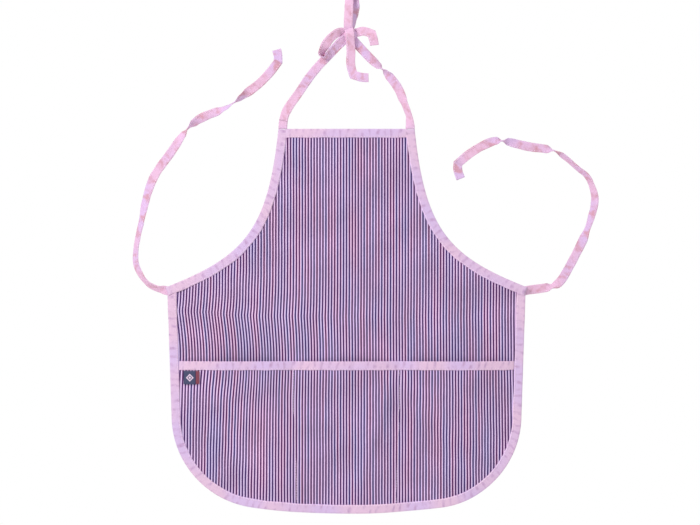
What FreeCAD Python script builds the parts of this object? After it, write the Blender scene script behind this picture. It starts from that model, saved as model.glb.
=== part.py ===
import FreeCAD, Part
import math
import os

import Sketcher
from FreeCAD import Placement, Rotation, Vector

# A child's bib apron that hangs by the top loop of its neck bow from a wall hook.
# The origin is on the wall, midway between the hook's two screws. +Z is up and -Y comes
# out of the wall, so a person in front of the apron looks along +Y. All sizes are in mm.

SIZES = (
    # alias, value, what it is
    ("plate_width", 24, "hook back plate, side to side"),
    ("plate_height", 66, "hook back plate, top to bottom"),
    ("plate_thickness", 3.5, "hook back plate"),
    ("plate_corner", 8, "radius of the back plate's corners"),
    ("screw_spacing", 50, "between the two screw holes"),
    ("screw_hole", 2.8, "radius of a screw hole"),
    ("countersink", 1.6, "depth of the 45 degree countersink"),
    ("screw_head", 4.0, "radius of a screw's countersunk head"),
    ("screw_neck", 2.5, "radius of a screw where it passes the plate"),
    ("screw_thread", 2.0, "radius of the threaded shank behind the plate"),
    ("screw_length", 20, "full-round shank behind the plate"),
    ("screw_point", 5, "length of the screw's point"),
    ("slot_width", 1.0, "slot in the screw's head"),
    ("slot_depth", 0.9, "slot in the screw's head"),
    ("arm_drop", 12, "arm's axis below the middle of the plate"),
    ("arm_radius", 3.5, "hook arm, a round rod"),
    ("arm_reach", 19, "straight run of the arm from the plate"),
    ("arm_bend", 8, "radius of the arm's upward bend"),
    ("arm_rise", 9, "straight run above the bend"),
    ("tip_radius", 5, "ball on the end of the arm"),
    ("apron_shift", 8.2, "apron's centre line left of the hook"),
    ("wall_gap", 15, "wall to the middle of the main panel's cloth"),
    ("cloth", 1.0, "main panel and pocket panel"),
    ("tape_layer", 0.7, "one folded leg of the binding tape"),
    ("tape_width", 12, "folded width of binding and ties"),
    ("tie_thickness", 1.4, "folded and stitched tie"),
    ("bib_top_drop", 214.5, "top of the bib below the origin"),
    ("bib_half", 92, "half the bib's top edge"),
    ("armhole_drop", 213, "bib top to waist corner"),
    ("waist_half", 242, "half the width at the waist corners"),
    ("armhole_top_out", 14, "upper handle of the armhole curve, outwards"),
    ("armhole_top_down", 137, "upper handle of the armhole curve, downwards"),
    ("armhole_end_in", 104, "lower handle of the armhole curve, inwards"),
    ("armhole_end_up", 41, "lower handle of the armhole curve, upwards"),
    ("skirt_half", 236, "half the width where the rounded corners begin"),
    ("skirt_corner", 125, "radius of the skirt's lower corners"),
    ("hem_radius", 1000, "radius of the gently curved hem"),
    ("apron_length", 519, "bib top to the middle of the hem"),
    ("pocket_drop", 314, "bib top to the pocket's mouth"),
    ("pocket_flat", 44, "middle of the hem up to where the pocket begins to stand off"),
    ("pocket_divider", 72, "divider seam from the apron's centre line"),
    ("pocket_slack", 10, "how far a compartment's mouth stands off the main panel"),
    ("seam_flat", 2, "flat cloth each side of a pocket seam"),
    ("stitch_inset", 1.0, "thread line from the tape's inner edge"),
    ("stitch_width", 0.6, "thread line"),
    ("stitch_height", 0.35, "thread line above the tape"),
    ("label_width", 21.5, "woven label with its folded red edge"),
    ("label_height", 18, "woven label below the pocket binding"),
    ("label_thickness", 0.8, "woven label, folded double"),
    ("label_inset", 15.25, "label's middle from the side binding's inner edge"),
    ("label_gap", 0.5, "label to its neighbours"),
    ("knot_radius", 8.5, "bow knot"),
    ("knot_right", -3.5, "bow knot's centre, sideways"),
    ("knot_drop", 87.8, "bow knot's centre below the origin"),
    ("body_gap", 0.5, "between pieces that move apart"),
)

doc = FreeCAD.newDocument("apron_on_hook")
sheet = doc.addObject("Spreadsheet::Sheet", "Sizes")
for row, (alias, value, note) in enumerate(SIZES, 1):
    sheet.set(f"A{row}", note)
    sheet.set(f"B{row}", str(value))
    sheet.setAlias(f"B{row}", alias)
doc.recompute()

# Routes of the tapes, seen from the front, as (x, z) from the hook's origin.
# A waist tie starts at its waist corner, a neck tie at its bib corner, and the
# loop and the tails of the bow start at the knot.
WAIST_TIE_LEFT = (
    (-247.0, -430.5), (-264.5, -430.5), (-278.0, -424.0), (-289.5, -408.0), (-295.0, -392.5),
    (-291.5, -363.0), (-285.0, -336.0), (-280.0, -309.5), (-272.5, -285.0), (-262.5, -267.5),
    (-246.5, -247.0), (-231.5, -224.0), (-219.5, -208.5), (-202.0, -197.0), (-179.5, -189.0),
    (-164.0, -181.0), (-148.0, -168.5), (-127.5, -154.0), (-113.0, -139.0), (-102.5, -125.5),
    (-100.0, -116.5), (-103.0, -106.5),
)
WAIST_TIE_RIGHT = (
    (230.5, -430.5), (244.0, -431.5), (260.0, -429.5), (275.0, -426.5), (283.5, -418.5),
    (291.5, -404.5), (301.5, -386.0), (311.5, -366.0), (319.5, -347.0), (326.0, -326.5),
    (329.0, -309.0), (326.0, -294.0), (319.5, -278.0), (305.5, -268.0), (289.5, -253.0),
    (273.5, -242.5), (259.0, -240.5), (240.0, -238.5), (221.5, -234.0), (205.5, -230.0),
    (192.5, -229.5), (176.0, -236.5), (161.0, -245.5), (149.0, -255.0), (142.0, -262.5),
    (142.5, -272.0), (146.5, -281.5),
)
NECK_TIE_LEFT = (
    (-94.2, -214.5), (-93.8, -200.0), (-85.5, -183.5), (-73.5, -167.5), (-63.0, -151.0),
    (-52.0, -136.5), (-40.0, -123.5), (-30.5, -114.0), (-20.0, -103.0), (-11.0, -95.0),
)
NECK_TIE_RIGHT = (
    (77.8, -214.5), (77.4, -200.5), (73.5, -188.5), (68.5, -176.0), (62.5, -160.5),
    (52.0, -146.0), (41.0, -134.5), (27.5, -123.0), (17.0, -112.0), (8.5, -103.0),
    (2.5, -96.0),
)
HANGING_LOOP = (
    (-6.5, -79.6), (-5.0, -56.0), (-4.3, -34.0), (-4.5, -18.0), (-4.5, -7.5),
    (4.5, -7.5), (4.5, -18.0), (4.2, -34.0), (3.5, -56.0), (-0.5, -79.6),
)
BOW_LOOP = (
    (-11.5, -82.5), (-19.5, -80.5), (-29.0, -85.0), (-36.5, -93.0), (-42.0, -104.0),
    (-44.0, -116.0), (-37.5, -121.0), (-29.0, -111.0), (-20.5, -102.0), (-12.5, -93.5),
)
BOW_TAIL_SHORT = (
    (6.5, -84.5), (14.0, -82.5), (23.0, -85.0), (28.5, -92.5), (29.5, -102.0),
)
BOW_TAIL_LONG = (
    (-3.1, -97.6), (-2.0, -110.5), (-3.0, -124.0), (-1.5, -136.0), (6.0, -144.0),
    (15.5, -146.0), (21.5, -145.8),
)


def size(alias):
    return float(sheet.get(alias))


def bind(thing, path, expression):
    """Ties a property to sheet cells; each alias in the expression is written {alias}."""
    cells = {alias: f"Sizes.{alias}" for alias, _, _ in SIZES}
    thing.setExpression(path, expression.format(**cells))


def named(thing, label):
    thing.Label = label
    return thing


# ---------------------------------------------------------------- the wall hook

def origin_plane(body, role):
    return next(f for f in body.Origin.OriginFeatures if f.Role == role)


def sketch_on(body, name, role):
    sketch = body.newObject("Sketcher::SketchObject", name)
    sketch.AttachmentSupport = (origin_plane(body, role), [""])
    sketch.MapMode = "FlatFace"
    return sketch


def constrain(sketch, *args, name=None, expression=None):
    index = sketch.addConstraint(Sketcher.Constraint(*args))
    if name:
        sketch.renameConstraint(index, name)
        bind(sketch, f"Constraints.{name}", expression)


def hook_plate():
    """Rounded plate with two countersunk holes; its back lies on the wall at y = 0."""
    body = named(doc.addObject("PartDesign::Body", "HookPlate"), "hook_plate")
    half = Vector(size("plate_width") / 2, size("plate_height") / 2, 0)
    outline = sketch_on(body, "PlateOutline", "XZ_Plane")
    corners = [Vector(sx * half.x, sz * half.y, 0) for sx, sz in ((-1, -1), (1, -1), (1, 1), (-1, 1))]
    for i in range(4):
        outline.addGeometry(Part.LineSegment(corners[i], corners[(i + 1) % 4]), False)
    for i in range(4):
        constrain(outline, "Coincident", i, 2, (i + 1) % 4, 1)
        constrain(outline, "Vertical" if i % 2 else "Horizontal", i)
    constrain(outline, "Symmetric", 0, 1, 1, 2, -1, 1)
    constrain(outline, "Distance", 0, 2 * half.x, name="wide", expression="{plate_width}")
    constrain(outline, "Distance", 1, 2 * half.y, name="tall", expression="{plate_height}")
    pad = body.newObject("PartDesign::Pad", "PlatePad")
    pad.Profile = outline
    bind(pad, "Length", "{plate_thickness}")
    doc.recompute()
    if pad.Shape.BoundBox.YMax > size("plate_thickness") / 2:
        pad.Reversed = True
        doc.recompute()

    rounded = body.newObject("PartDesign::Fillet", "PlateCorners")
    rounded.Base = (pad, [f"Edge{i}" for i, e in enumerate(pad.Shape.Edges, 1)
                          if abs(e.tangentAt(e.FirstParameter).y) > 0.99])
    bind(rounded, "Radius", "{plate_corner}")
    doc.recompute()

    circles = sketch_on(body, "ScrewHoles", "XZ_Plane")
    for i, side in enumerate((1, -1)):
        centre = Vector(0, side * size("screw_spacing") / 2, 0)
        circles.addGeometry(Part.Circle(centre, Vector(0, 0, 1), size("screw_hole")), False)
        constrain(circles, "PointOnObject", i, 3, -2)
        constrain(circles, "Radius", i, size("screw_hole"), name=f"hole{i}", expression="{screw_hole}")
        order = (-1, 1, i, 3) if side > 0 else (i, 3, -1, 1)
        constrain(circles, "DistanceY", *order, size("screw_spacing") / 2,
                  name=f"height{i}", expression="{screw_spacing} / 2")
    holes = body.newObject("PartDesign::Pocket", "ScrewPocket")
    holes.Profile = circles
    holes.Type = "ThroughAll"
    holes.Midplane = True
    doc.recompute()
    if holes.Shape.Volume >= rounded.Shape.Volume:
        raise RuntimeError("the screw holes cut nothing")

    front = -size("plate_thickness")
    sunk = body.newObject("PartDesign::Chamfer", "Countersinks")
    sunk.Base = (holes, [f"Edge{i}" for i, e in enumerate(holes.Shape.Edges, 1)
                         if e.Curve.TypeId == "Part::GeomCircle"
                         and abs(e.Curve.Radius - size("screw_hole")) < 0.01
                         and abs(e.Curve.Center.y - front) < 0.01])
    bind(sunk, "Size", "{countersink}")
    body.Tip = sunk
    return body


def hook_arm():
    """Round rod out of the plate, bent upwards, with a ball on its end."""
    body = named(doc.addObject("PartDesign::Body", "HookArm"), "hook_arm")
    start, drop = size("plate_thickness"), size("arm_drop")
    reach, bend, rise = size("arm_reach"), size("arm_bend"), size("arm_rise")

    section = sketch_on(body, "ArmSection", "XZ_Plane")
    bind(section, "AttachmentOffset.Base.z", "{plate_thickness}")
    section.addGeometry(Part.Circle(Vector(0, -drop, 0), Vector(0, 0, 1), size("arm_radius")), False)
    constrain(section, "PointOnObject", 0, 3, -2)
    constrain(section, "Radius", 0, size("arm_radius"), name="rod", expression="{arm_radius}")
    constrain(section, "DistanceY", 0, 3, -1, 1, drop, name="drop", expression="{arm_drop}")

    path = sketch_on(body, "ArmPath", "YZ_Plane")
    out = -(start + reach)
    path.addGeometry(Part.LineSegment(Vector(-start, -drop, 0), Vector(out, -drop, 0)), False)
    bend_centre = Vector(out, -drop + bend, 0)
    path.addGeometry(Part.ArcOfCircle(Part.Circle(bend_centre, Vector(0, 0, 1), bend),
                                      math.pi, 1.5 * math.pi), False)
    path.addGeometry(Part.LineSegment(Vector(out - bend, -drop + bend, 0),
                                      Vector(out - bend, -drop + bend + rise, 0)), False)
    constrain(path, "Horizontal", 0)
    constrain(path, "Vertical", 2)
    constrain(path, "Tangent", 0, 2, 1, 2)
    constrain(path, "Tangent", 1, 1, 2, 1)
    constrain(path, "DistanceX", 0, 1, -1, 1, start, name="start", expression="{plate_thickness}")
    constrain(path, "DistanceY", 0, 1, -1, 1, drop, name="drop", expression="{arm_drop}")
    constrain(path, "Distance", 0, reach, name="reach", expression="{arm_reach}")
    constrain(path, "Radius", 1, bend, name="bend", expression="{arm_bend}")
    constrain(path, "Distance", 2, rise, name="rise", expression="{arm_rise}")
    doc.recompute()

    rod = body.newObject("PartDesign::AdditivePipe", "ArmRod")
    rod.Profile = section
    rod.Spine = (path, ["Edge1", "Edge2", "Edge3"])
    doc.recompute()

    ball = body.newObject("PartDesign::AdditiveSphere", "ArmTip")
    bind(ball, "Radius", "{tip_radius}")
    bind(ball, "Placement.Base.y", "-({plate_thickness} + {arm_reach} + {arm_bend})")
    bind(ball, "Placement.Base.z", "{arm_bend} + {arm_rise} - {arm_drop}")
    body.Tip = ball
    return body


def primitive(kind, name, turn=None, **bound):
    """A Part primitive whose properties, among them its place x, y or z, are bound to cells."""
    thing = doc.addObject(f"Part::{kind}", name)
    if turn:
        thing.Placement = Placement(Vector(), turn)
    for path, expression in bound.items():
        bind(thing, f"Placement.Base.{path}" if path in "xyz" else path, expression)
    return thing


def hook_screw(where, sign):
    """Slotted countersunk wood screw; its threaded shank is a plain round one."""
    along = Rotation(Vector(1, 0, 0), -90)
    height = sign + "{screw_spacing} / 2"
    head = primitive("Cone", f"ScrewHead{where}", along, Radius1="{screw_head}", Radius2="{screw_neck}",
                     Height="{screw_head} - {screw_neck}", y="-{plate_thickness}", z=height)
    neck = primitive("Cylinder", f"ScrewNeck{where}", along, Radius="{screw_neck}",
                     Height="{plate_thickness}", y="-{plate_thickness}", z=height)
    shank = primitive("Cylinder", f"ScrewShank{where}", along, Radius="{screw_thread}",
                      Height="{screw_length}", z=height)
    point = primitive("Cone", f"ScrewPoint{where}", along, Radius1="{screw_thread}", Radius2="0.2",
                      Height="{screw_point}", y="{screw_length}", z=height)
    solid = doc.addObject("Part::MultiFuse", f"ScrewSolid{where}")
    solid.Shapes = [head, neck, shank, point]
    slot = primitive("Box", f"ScrewSlot{where}", Length="2 * {screw_head}", Width="{slot_depth}",
                     Height="{slot_width}", x="-{screw_head}", y="-{plate_thickness}",
                     z=height + " - {slot_width} / 2")
    screw = doc.addObject("Part::Cut", f"Screw{where}")
    screw.Base, screw.Tool = solid, slot
    return named(screw, f"hook_screw_{where}")


# ---------------------------------------------------------------- flat cloth shapes

TOP = -size("bib_top_drop")
WAIST = TOP - size("armhole_drop")
HEM = TOP - size("apron_length")
MOUTH = TOP - size("pocket_drop")
FLAT = HEM + size("pocket_flat")
TAPE = size("tape_width")
MIDDLE = -size("wall_gap")
CLOTH_BACK = MIDDLE + size("cloth") / 2
CLOTH_FRONT = MIDDLE - size("cloth") / 2


def flat_point(x, z):
    """A point on the apron's middle plane, from its own centre line."""
    return Vector(x - size("apron_shift"), MIDDLE, z)


def polygon(points):
    corners = [flat_point(x, z) for x, z in points]
    return Part.Face(Part.makePolygon(corners + corners[:1]))


def bezier(points):
    curve = Part.BezierCurve()
    curve.setPoles([flat_point(x, z) for x, z in points])
    return curve.toShape()


def apron_outline():
    """The whole apron's edge: bib top, armholes, sides, rounded corners and curved hem."""
    bib, waist, skirt = size("bib_half"), size("waist_half"), size("skirt_half")
    corner, hem = size("skirt_corner"), size("hem_radius")
    hem_centre = HEM + hem
    inner = skirt - corner
    corner_z = hem_centre - math.sqrt((hem - corner) ** 2 - inner ** 2)
    reach = hem / (hem - corner)
    joint = (inner * reach, hem_centre - (hem_centre - corner_z) * reach)
    half_turn = math.atan2(joint[1] - corner_z, joint[0] - inner) / 2
    middle = (inner + corner * math.cos(half_turn), corner_z + corner * math.sin(half_turn))
    edges = [Part.makeLine(flat_point(-bib, TOP), flat_point(bib, TOP))]
    for side in (1, -1):
        def at(x, z, side=side):
            return flat_point(side * x, z)
        edges.append(bezier((
            (side * bib, TOP),
            (side * (bib + size("armhole_top_out")), TOP - size("armhole_top_down")),
            (side * (waist - size("armhole_end_in")), WAIST + size("armhole_end_up")),
            (side * waist, WAIST),
        )))
        edges.append(Part.makeLine(at(waist, WAIST), at(skirt, corner_z)))
        edges.append(Part.Arc(at(skirt, corner_z), at(*middle), at(*joint)).toShape())
    edges.append(Part.Arc(flat_point(joint[0], joint[1]), flat_point(0, HEM),
                          flat_point(-joint[0], joint[1])).toShape())
    return Part.Face(Part.Wire(Part.__sortEdges__(edges)))


OUTLINE = apron_outline()


def inset(distance):
    """The outline moved in by a distance; plain curves, because offset ones don't export."""
    return OUTLINE.makeOffset2D(-distance).toNurbs() if distance else OUTLINE


def edge_band(outer, inner):
    """The strip between two distances in from the apron's edge."""
    return inset(outer).cut(inset(inner))


def armhole_area(side):
    """Where the armhole tape lies: down to one tape's width under the waist corner."""
    bib, waist = size("bib_half"), size("waist_half")
    slope = size("armhole_end_up") / size("armhole_end_in")
    under = WAIST - TAPE * math.hypot(1, slope)
    far = waist + TAPE

    def line(x):
        return under - (x - waist) * slope

    return polygon([(side * (bib - TAPE), TOP + 1), (side * far, TOP + 1),
                    (side * far, line(far)), (side * (bib - TAPE), line(bib - TAPE))])


def split_band(band):
    """Shares a band round the edge between the four tapes that cover it."""
    left, right = armhole_area(-1), armhole_area(1)
    edge = size("bib_half") - TAPE
    top = polygon([(-edge, TOP + 1), (edge, TOP + 1), (edge, TOP - TAPE - 1), (-edge, TOP - TAPE - 1)])
    return {
        "armhole_left": band.common(left),
        "armhole_right": band.common(right),
        "bib_top": band.common(top),
        "hem": band.cut(left).cut(right).cut(top),
    }


def extrusion(name, face, back, depth):
    """Flat cloth: a face at y = back, thickened towards the front by a bound depth."""
    flat = doc.addObject("Part::Feature", f"{name}Flat")
    shifted = face.copy()
    shifted.translate(Vector(0, back - MIDDLE, 0))
    flat.Shape = shifted
    solid = doc.addObject("Part::Extrusion", name)
    solid.Base = flat
    solid.DirMode = "Custom"
    solid.Dir = Vector(0, -1, 0)
    solid.Solid = True
    bind(solid, "LengthFwd", depth)
    return solid


def cut(name, base, *tools):
    for i, tool in enumerate(tools):
        trimmed = doc.addObject("Part::Cut", name if i == len(tools) - 1 else f"{name}Cut{i}")
        trimmed.Base, trimmed.Tool = base, tool
        base = trimmed
    return base


def title(name):
    return "".join(word.capitalize() for word in name.split("_"))


# ---------------------------------------------------------------- pocket

POCKET_SIDE = size("skirt_half") - TAPE
SEAMS = (-POCKET_SIDE, -size("pocket_divider"), size("pocket_divider"), POCKET_SIDE)
SWELL = ((0, 0), (0.2, 0.8), (0.5, 1), (0.8, 0.8), (1, 0))


def pocket_profile():
    """(x, share of the slack) across the pocket: three swelling compartments."""
    outside = size("waist_half")
    points = [(-outside, 0)]
    for low, high in zip(SEAMS, SEAMS[1:]):
        start, end = low + size("seam_flat"), high - size("seam_flat")
        points += [(start + (end - start) * along, share) for along, share in SWELL]
    return points + [(outside, 0)]


def slack_at(z):
    """The slack left at a height: all of it at the mouth, none from the flat part down."""
    return size("pocket_slack") * max(0, (z - FLAT) / (MOUTH - FLAT))


def pocket_section(z, inner, outer):
    """Closed outline of the pocket cloth, cut level at z, between two depths of its skin."""
    points = pocket_profile()
    rows = [[Vector(x - size("apron_shift"), CLOTH_FRONT - share * slack_at(z) - depth, z)
             for x, share in points] for depth in (inner, outer)]
    loop = rows[0] + rows[1][::-1]
    return Part.makePolygon(loop + loop[:1])


def pocket_loft(heights, inner, outer):
    return Part.makeLoft([pocket_section(z, inner, outer) for z in heights], True, True)


def loft_feature(name, heights, inner, outer):
    loft = doc.addObject("Part::Feature", name)
    loft.Shape = pocket_loft(heights, inner, outer)
    return loft


def common(name, base, tool):
    shared = doc.addObject("Part::Common", name)
    shared.Base, shared.Tool = base, tool
    return shared


def label_front():
    """y of the label's back: clear of the swelling pocket cloth behind its inner edge."""
    inner_edge = size("label_inset") + size("label_width") / 2 - size("seam_flat")
    span = (SEAMS[1] - SEAMS[0]) - 2 * size("seam_flat")
    share = SWELL[1][1] * inner_edge / (SWELL[1][0] * span)
    top = MOUTH - TAPE
    return CLOTH_FRONT - share * slack_at(top) - size("cloth") - size("label_gap")


def woven_label():
    label = primitive("Box", "WovenLabel", Length="{label_width}", Width="{label_thickness}",
                      Height="{label_height}")
    left = -size("apron_shift") - POCKET_SIDE + size("label_inset") - size("label_width") / 2
    low = MOUTH - TAPE - size("label_gap") - size("label_height")
    label.Placement = Placement(Vector(left, label_front() - size("label_thickness"), low), Rotation())
    return named(label, "woven_label")


# ---------------------------------------------------------------- tapes and the bow

def rounded_route(points):
    """Straight runs and tangent arcs through a route: [(kind, centre or None, start, end, radius)]."""
    spots = [Vector(x, 0, z) for x, z in points]
    runs = [b - a for a, b in zip(spots, spots[1:])]
    pieces, here, radii = [], spots[0], []
    for i in range(1, len(spots) - 1):
        before, after = Vector(runs[i - 1]).normalize(), Vector(runs[i]).normalize()
        turn = before.getAngle(after)
        trim = 0.45 * min(runs[i - 1].Length, runs[i].Length)
        radius = trim / math.tan(turn / 2)
        start, end = spots[i] - before * trim, spots[i] + after * trim
        inward = (after - before).normalize()
        centre = spots[i] + inward * math.hypot(radius, trim)
        pieces.append((None, here, start, 0))
        pieces.append((centre, start, end, radius))
        here = end
        radii.append(radius)
    pieces.append((None, here, spots[-1], 0))
    return pieces, radii


def side_edge(piece, offset):
    """One edge of a ribbon: the piece of its middle line, moved sideways by offset."""
    centre, start, end, radius = piece
    if centre is None:
        along = (end - start).normalize()
        aside = Vector(-along.z, 0, along.x) * offset
        return Part.makeLine(start + aside, end + aside)
    first, last = (start - centre).normalize(), (end - centre).normalize()
    turns_left = (first.z * last.x - first.x * last.z) < 0
    wide = radius - offset if turns_left else radius + offset
    middle = (first + last).normalize()
    return Part.Arc(centre + first * wide, centre + middle * wide, centre + last * wide).toShape()


def ribbon(name, points, face_width, depth, front):
    """A tape along a route: face_width across in the front view, depth deep from y = front back."""
    pieces, radii = rounded_route(points)
    sides = [[side_edge(piece, offset * face_width / 2) for piece in pieces] for offset in (1, -1)]
    ends = [Part.makeLine(sides[0][i].Vertexes[0 if i == 0 else -1].Point,
                          sides[1][i].Vertexes[0 if i == 0 else -1].Point) for i in (0, -1)]
    outline = Part.Wire(Part.__sortEdges__(sides[0] + sides[1] + ends))
    shape = Part.Face(outline).extrude(Vector(0, depth, 0))
    shape.translate(Vector(0, front, 0))
    tape = doc.addObject("Part::Feature", title(name))
    tape.Shape = shape
    length = sum(radius * (start - centre).getAngle(end - centre) if centre else (end - start).Length
                 for centre, start, end, radius in pieces)
    share = shape.Volume / (length * face_width * depth)
    print(f"{name}: {length:.0f} mm, volume / (section x length) {share:.3f}, "
          f"radii {min(radii):.1f} to {max(radii):.1f} mm")
    return named(tape, name)


def bow_knot():
    knot = primitive("Sphere", "BowKnot", Radius="{knot_radius}", x="{knot_right}",
                     y="-{wall_gap}", z="-{knot_drop}")
    return named(knot, "bow_knot")


# ---------------------------------------------------------------- the pieces

def cloth_pieces():
    """Main panel, pocket, bindings, label and the thread lines that hold them together."""
    main = named(extrusion("MainPanel", inset(size("tape_layer")), CLOTH_BACK, "{cloth}"), "main_panel")

    low = HEM - TAPE
    edge_cut = extrusion("PocketEdge", inset(size("tape_layer")), CLOTH_FRONT, "2 * {pocket_slack}")
    body = loft_feature("PocketLoft", (MOUTH, FLAT, low), 0, size("cloth"))
    pocket = named(common("PocketPanel", body, edge_cut), "pocket_panel")

    pieces = [main, pocket]
    bands = split_band(edge_band(0, TAPE))
    back = CLOTH_BACK + size("tape_layer")
    for place in ("bib_top", "armhole_left", "armhole_right"):
        tape = extrusion(title(place) + "Tape", bands[place], back, "{cloth} + 2 * {tape_layer}")
        name = "bib_top_binding" if place == "bib_top" else place.replace("hole", "hole_binding")
        pieces.append(named(cut(title(name), tape, main), name))
    tape = extrusion("HemTape", bands["hem"], back, "2 * {cloth} + 2 * {tape_layer}")
    pieces.append(named(cut("HemBinding", tape, main, pocket), "hem_binding"))

    skin = size("tape_layer")
    lip = loft_feature("MouthLoft", (MOUTH + skin, MOUTH - TAPE), -skin, size("cloth") + skin)
    inside = extrusion("MouthEnds", inset(TAPE), CLOTH_BACK, "2 * {pocket_slack}")
    mouth = common("MouthTape", lip, inside)
    pieces.append(named(cut("PocketMouthBinding", mouth, main, pocket), "pocket_mouth_binding"))

    inner = TAPE - size("stitch_inset")
    threads = split_band(edge_band(inner - size("stitch_width"), inner))
    fronts = {"hem": CLOTH_FRONT - size("cloth") - skin}
    for place, line in threads.items():
        front = fronts.get(place, CLOTH_FRONT - skin)
        name = f"{place}_stitching"
        thread = extrusion(title(name), line, front, "{stitch_height}")
        pieces.append(named(cut(f"{title(name)}Clear", thread, pocket), name))

    seam_top, half = MOUTH - TAPE, size("stitch_width") / 2
    seam = {side: polygon([(side * size("pocket_divider") - half, seam_top),
                           (side * size("pocket_divider") + half, seam_top),
                           (side * size("pocket_divider") + half, low),
                           (side * size("pocket_divider") - half, low)]).common(inset(TAPE))
            for side in (-1, 1)}
    for side, where in ((-1, "left"), (1, "right")):
        name = f"pocket_divider_stitching_{where}"
        pieces.append(named(extrusion(title(name), seam[side], CLOTH_FRONT - size("cloth"),
                                      "{stitch_height}"), name))
    mouth_line = loft_feature("MouthThread", (MOUTH - inner + size("stitch_width"), MOUTH - inner),
                              size("cloth") + skin, size("cloth") + skin + size("stitch_height"))
    pieces.append(named(common("PocketMouthStitching", mouth_line,
                               extrusion("MouthThreadEnds", inset(TAPE), CLOTH_BACK,
                                         "3 * {pocket_slack}")), "pocket_mouth_stitching"))
    pieces.append(woven_label())
    return pieces


def tape_pieces():
    """Waist ties behind the panel, neck ties in its plane, and the bow in front of them."""
    thick, gap = size("tie_thickness"), size("body_gap")
    waist_front = CLOTH_BACK + size("tape_layer") + gap
    neck_front = MIDDLE - thick / 2
    tail_front = neck_front - gap - thick - gap
    return [
        ribbon("waist_tie_left", WAIST_TIE_LEFT, TAPE, thick, waist_front),
        ribbon("waist_tie_right", WAIST_TIE_RIGHT, TAPE, thick, waist_front),
        ribbon("neck_tie_left", NECK_TIE_LEFT, TAPE, thick, neck_front),
        ribbon("neck_tie_right", NECK_TIE_RIGHT, TAPE, thick, neck_front),
        ribbon("hanging_loop", HANGING_LOOP, thick, TAPE, MIDDLE - TAPE / 2),
        ribbon("bow_loop", BOW_LOOP, thick, TAPE, neck_front - gap - TAPE),
        ribbon("bow_tail_short", BOW_TAIL_SHORT, TAPE, thick, tail_front),
        ribbon("bow_tail_long", BOW_TAIL_LONG, TAPE, thick, tail_front),
        bow_knot(),
    ]


def check(pieces):
    doc.recompute()
    for thing in doc.Objects:
        bad = {"Invalid", "Error"} & set(thing.State)
        if bad:
            raise RuntimeError(f"{thing.Label} is {bad}")
    for piece in pieces:
        if piece.Shape.isNull() or not piece.Shape.isValid() or not piece.Shape.Solids:
            raise RuntimeError(f"{piece.Label} has no valid solid")


PIECES = [hook_plate(), hook_arm(), hook_screw("upper", ""), hook_screw("lower", "-")]
PIECES += cloth_pieces() + tape_pieces()
check(PIECES)
os.makedirs("parts", exist_ok=True)
for piece in PIECES:
    piece.Shape.exportStep(f"parts/{piece.Label}.step")
print(len(PIECES), "parts written")
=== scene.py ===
"""A child's bib apron of striped cotton that hangs by its neck bow from a wall hook.

Everything is in metres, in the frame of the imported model: +Z is up, -Y comes out of the
wall, and the origin is on the wall, between the two screws of the hook.
"""

import math
import random
from functools import partial

import bmesh
import bpy
import numpy as np
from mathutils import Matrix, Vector


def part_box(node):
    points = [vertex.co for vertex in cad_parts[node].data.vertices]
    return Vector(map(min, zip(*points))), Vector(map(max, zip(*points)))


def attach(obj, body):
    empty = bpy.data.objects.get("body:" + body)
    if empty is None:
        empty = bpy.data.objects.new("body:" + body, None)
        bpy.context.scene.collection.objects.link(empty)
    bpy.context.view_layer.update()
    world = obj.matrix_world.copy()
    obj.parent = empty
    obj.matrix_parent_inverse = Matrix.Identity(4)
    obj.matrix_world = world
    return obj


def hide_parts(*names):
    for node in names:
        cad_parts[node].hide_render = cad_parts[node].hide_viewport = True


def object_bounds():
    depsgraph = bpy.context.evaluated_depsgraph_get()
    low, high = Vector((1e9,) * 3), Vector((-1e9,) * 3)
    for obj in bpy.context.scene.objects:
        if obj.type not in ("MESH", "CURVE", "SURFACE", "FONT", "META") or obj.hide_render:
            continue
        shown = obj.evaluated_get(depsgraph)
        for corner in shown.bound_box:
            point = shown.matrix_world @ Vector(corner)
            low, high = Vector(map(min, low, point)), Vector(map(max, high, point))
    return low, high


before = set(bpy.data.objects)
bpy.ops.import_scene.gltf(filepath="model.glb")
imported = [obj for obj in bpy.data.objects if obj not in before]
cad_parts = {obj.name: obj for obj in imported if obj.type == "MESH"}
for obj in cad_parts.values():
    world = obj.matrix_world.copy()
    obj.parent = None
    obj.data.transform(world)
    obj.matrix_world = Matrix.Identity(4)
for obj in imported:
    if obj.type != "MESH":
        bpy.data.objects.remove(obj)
CAD_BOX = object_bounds()

bl_info = {
    "name": "Apron on a Hook",
    "version": (1, 0, 0),
    "blender": (4, 5, 0),
    "location": "3D View > Sidebar > Apron",
    "description": "Builds a bound and striped bib apron, tied in a bow over a wall hook",
    "category": "Add Mesh",
}

MM = 0.001
FLAT_MAP = "flat_metres"      # UV map with the flat cloth's own coordinates, in metres


# ------------------------------------------------------------------ sizes read off the frame

X, Y, Z = 0, 1, 2


def span(node, axis):
    """Lowest and highest place of a CAD node along an axis."""
    low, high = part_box(node)
    return low[axis], high[axis]


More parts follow.
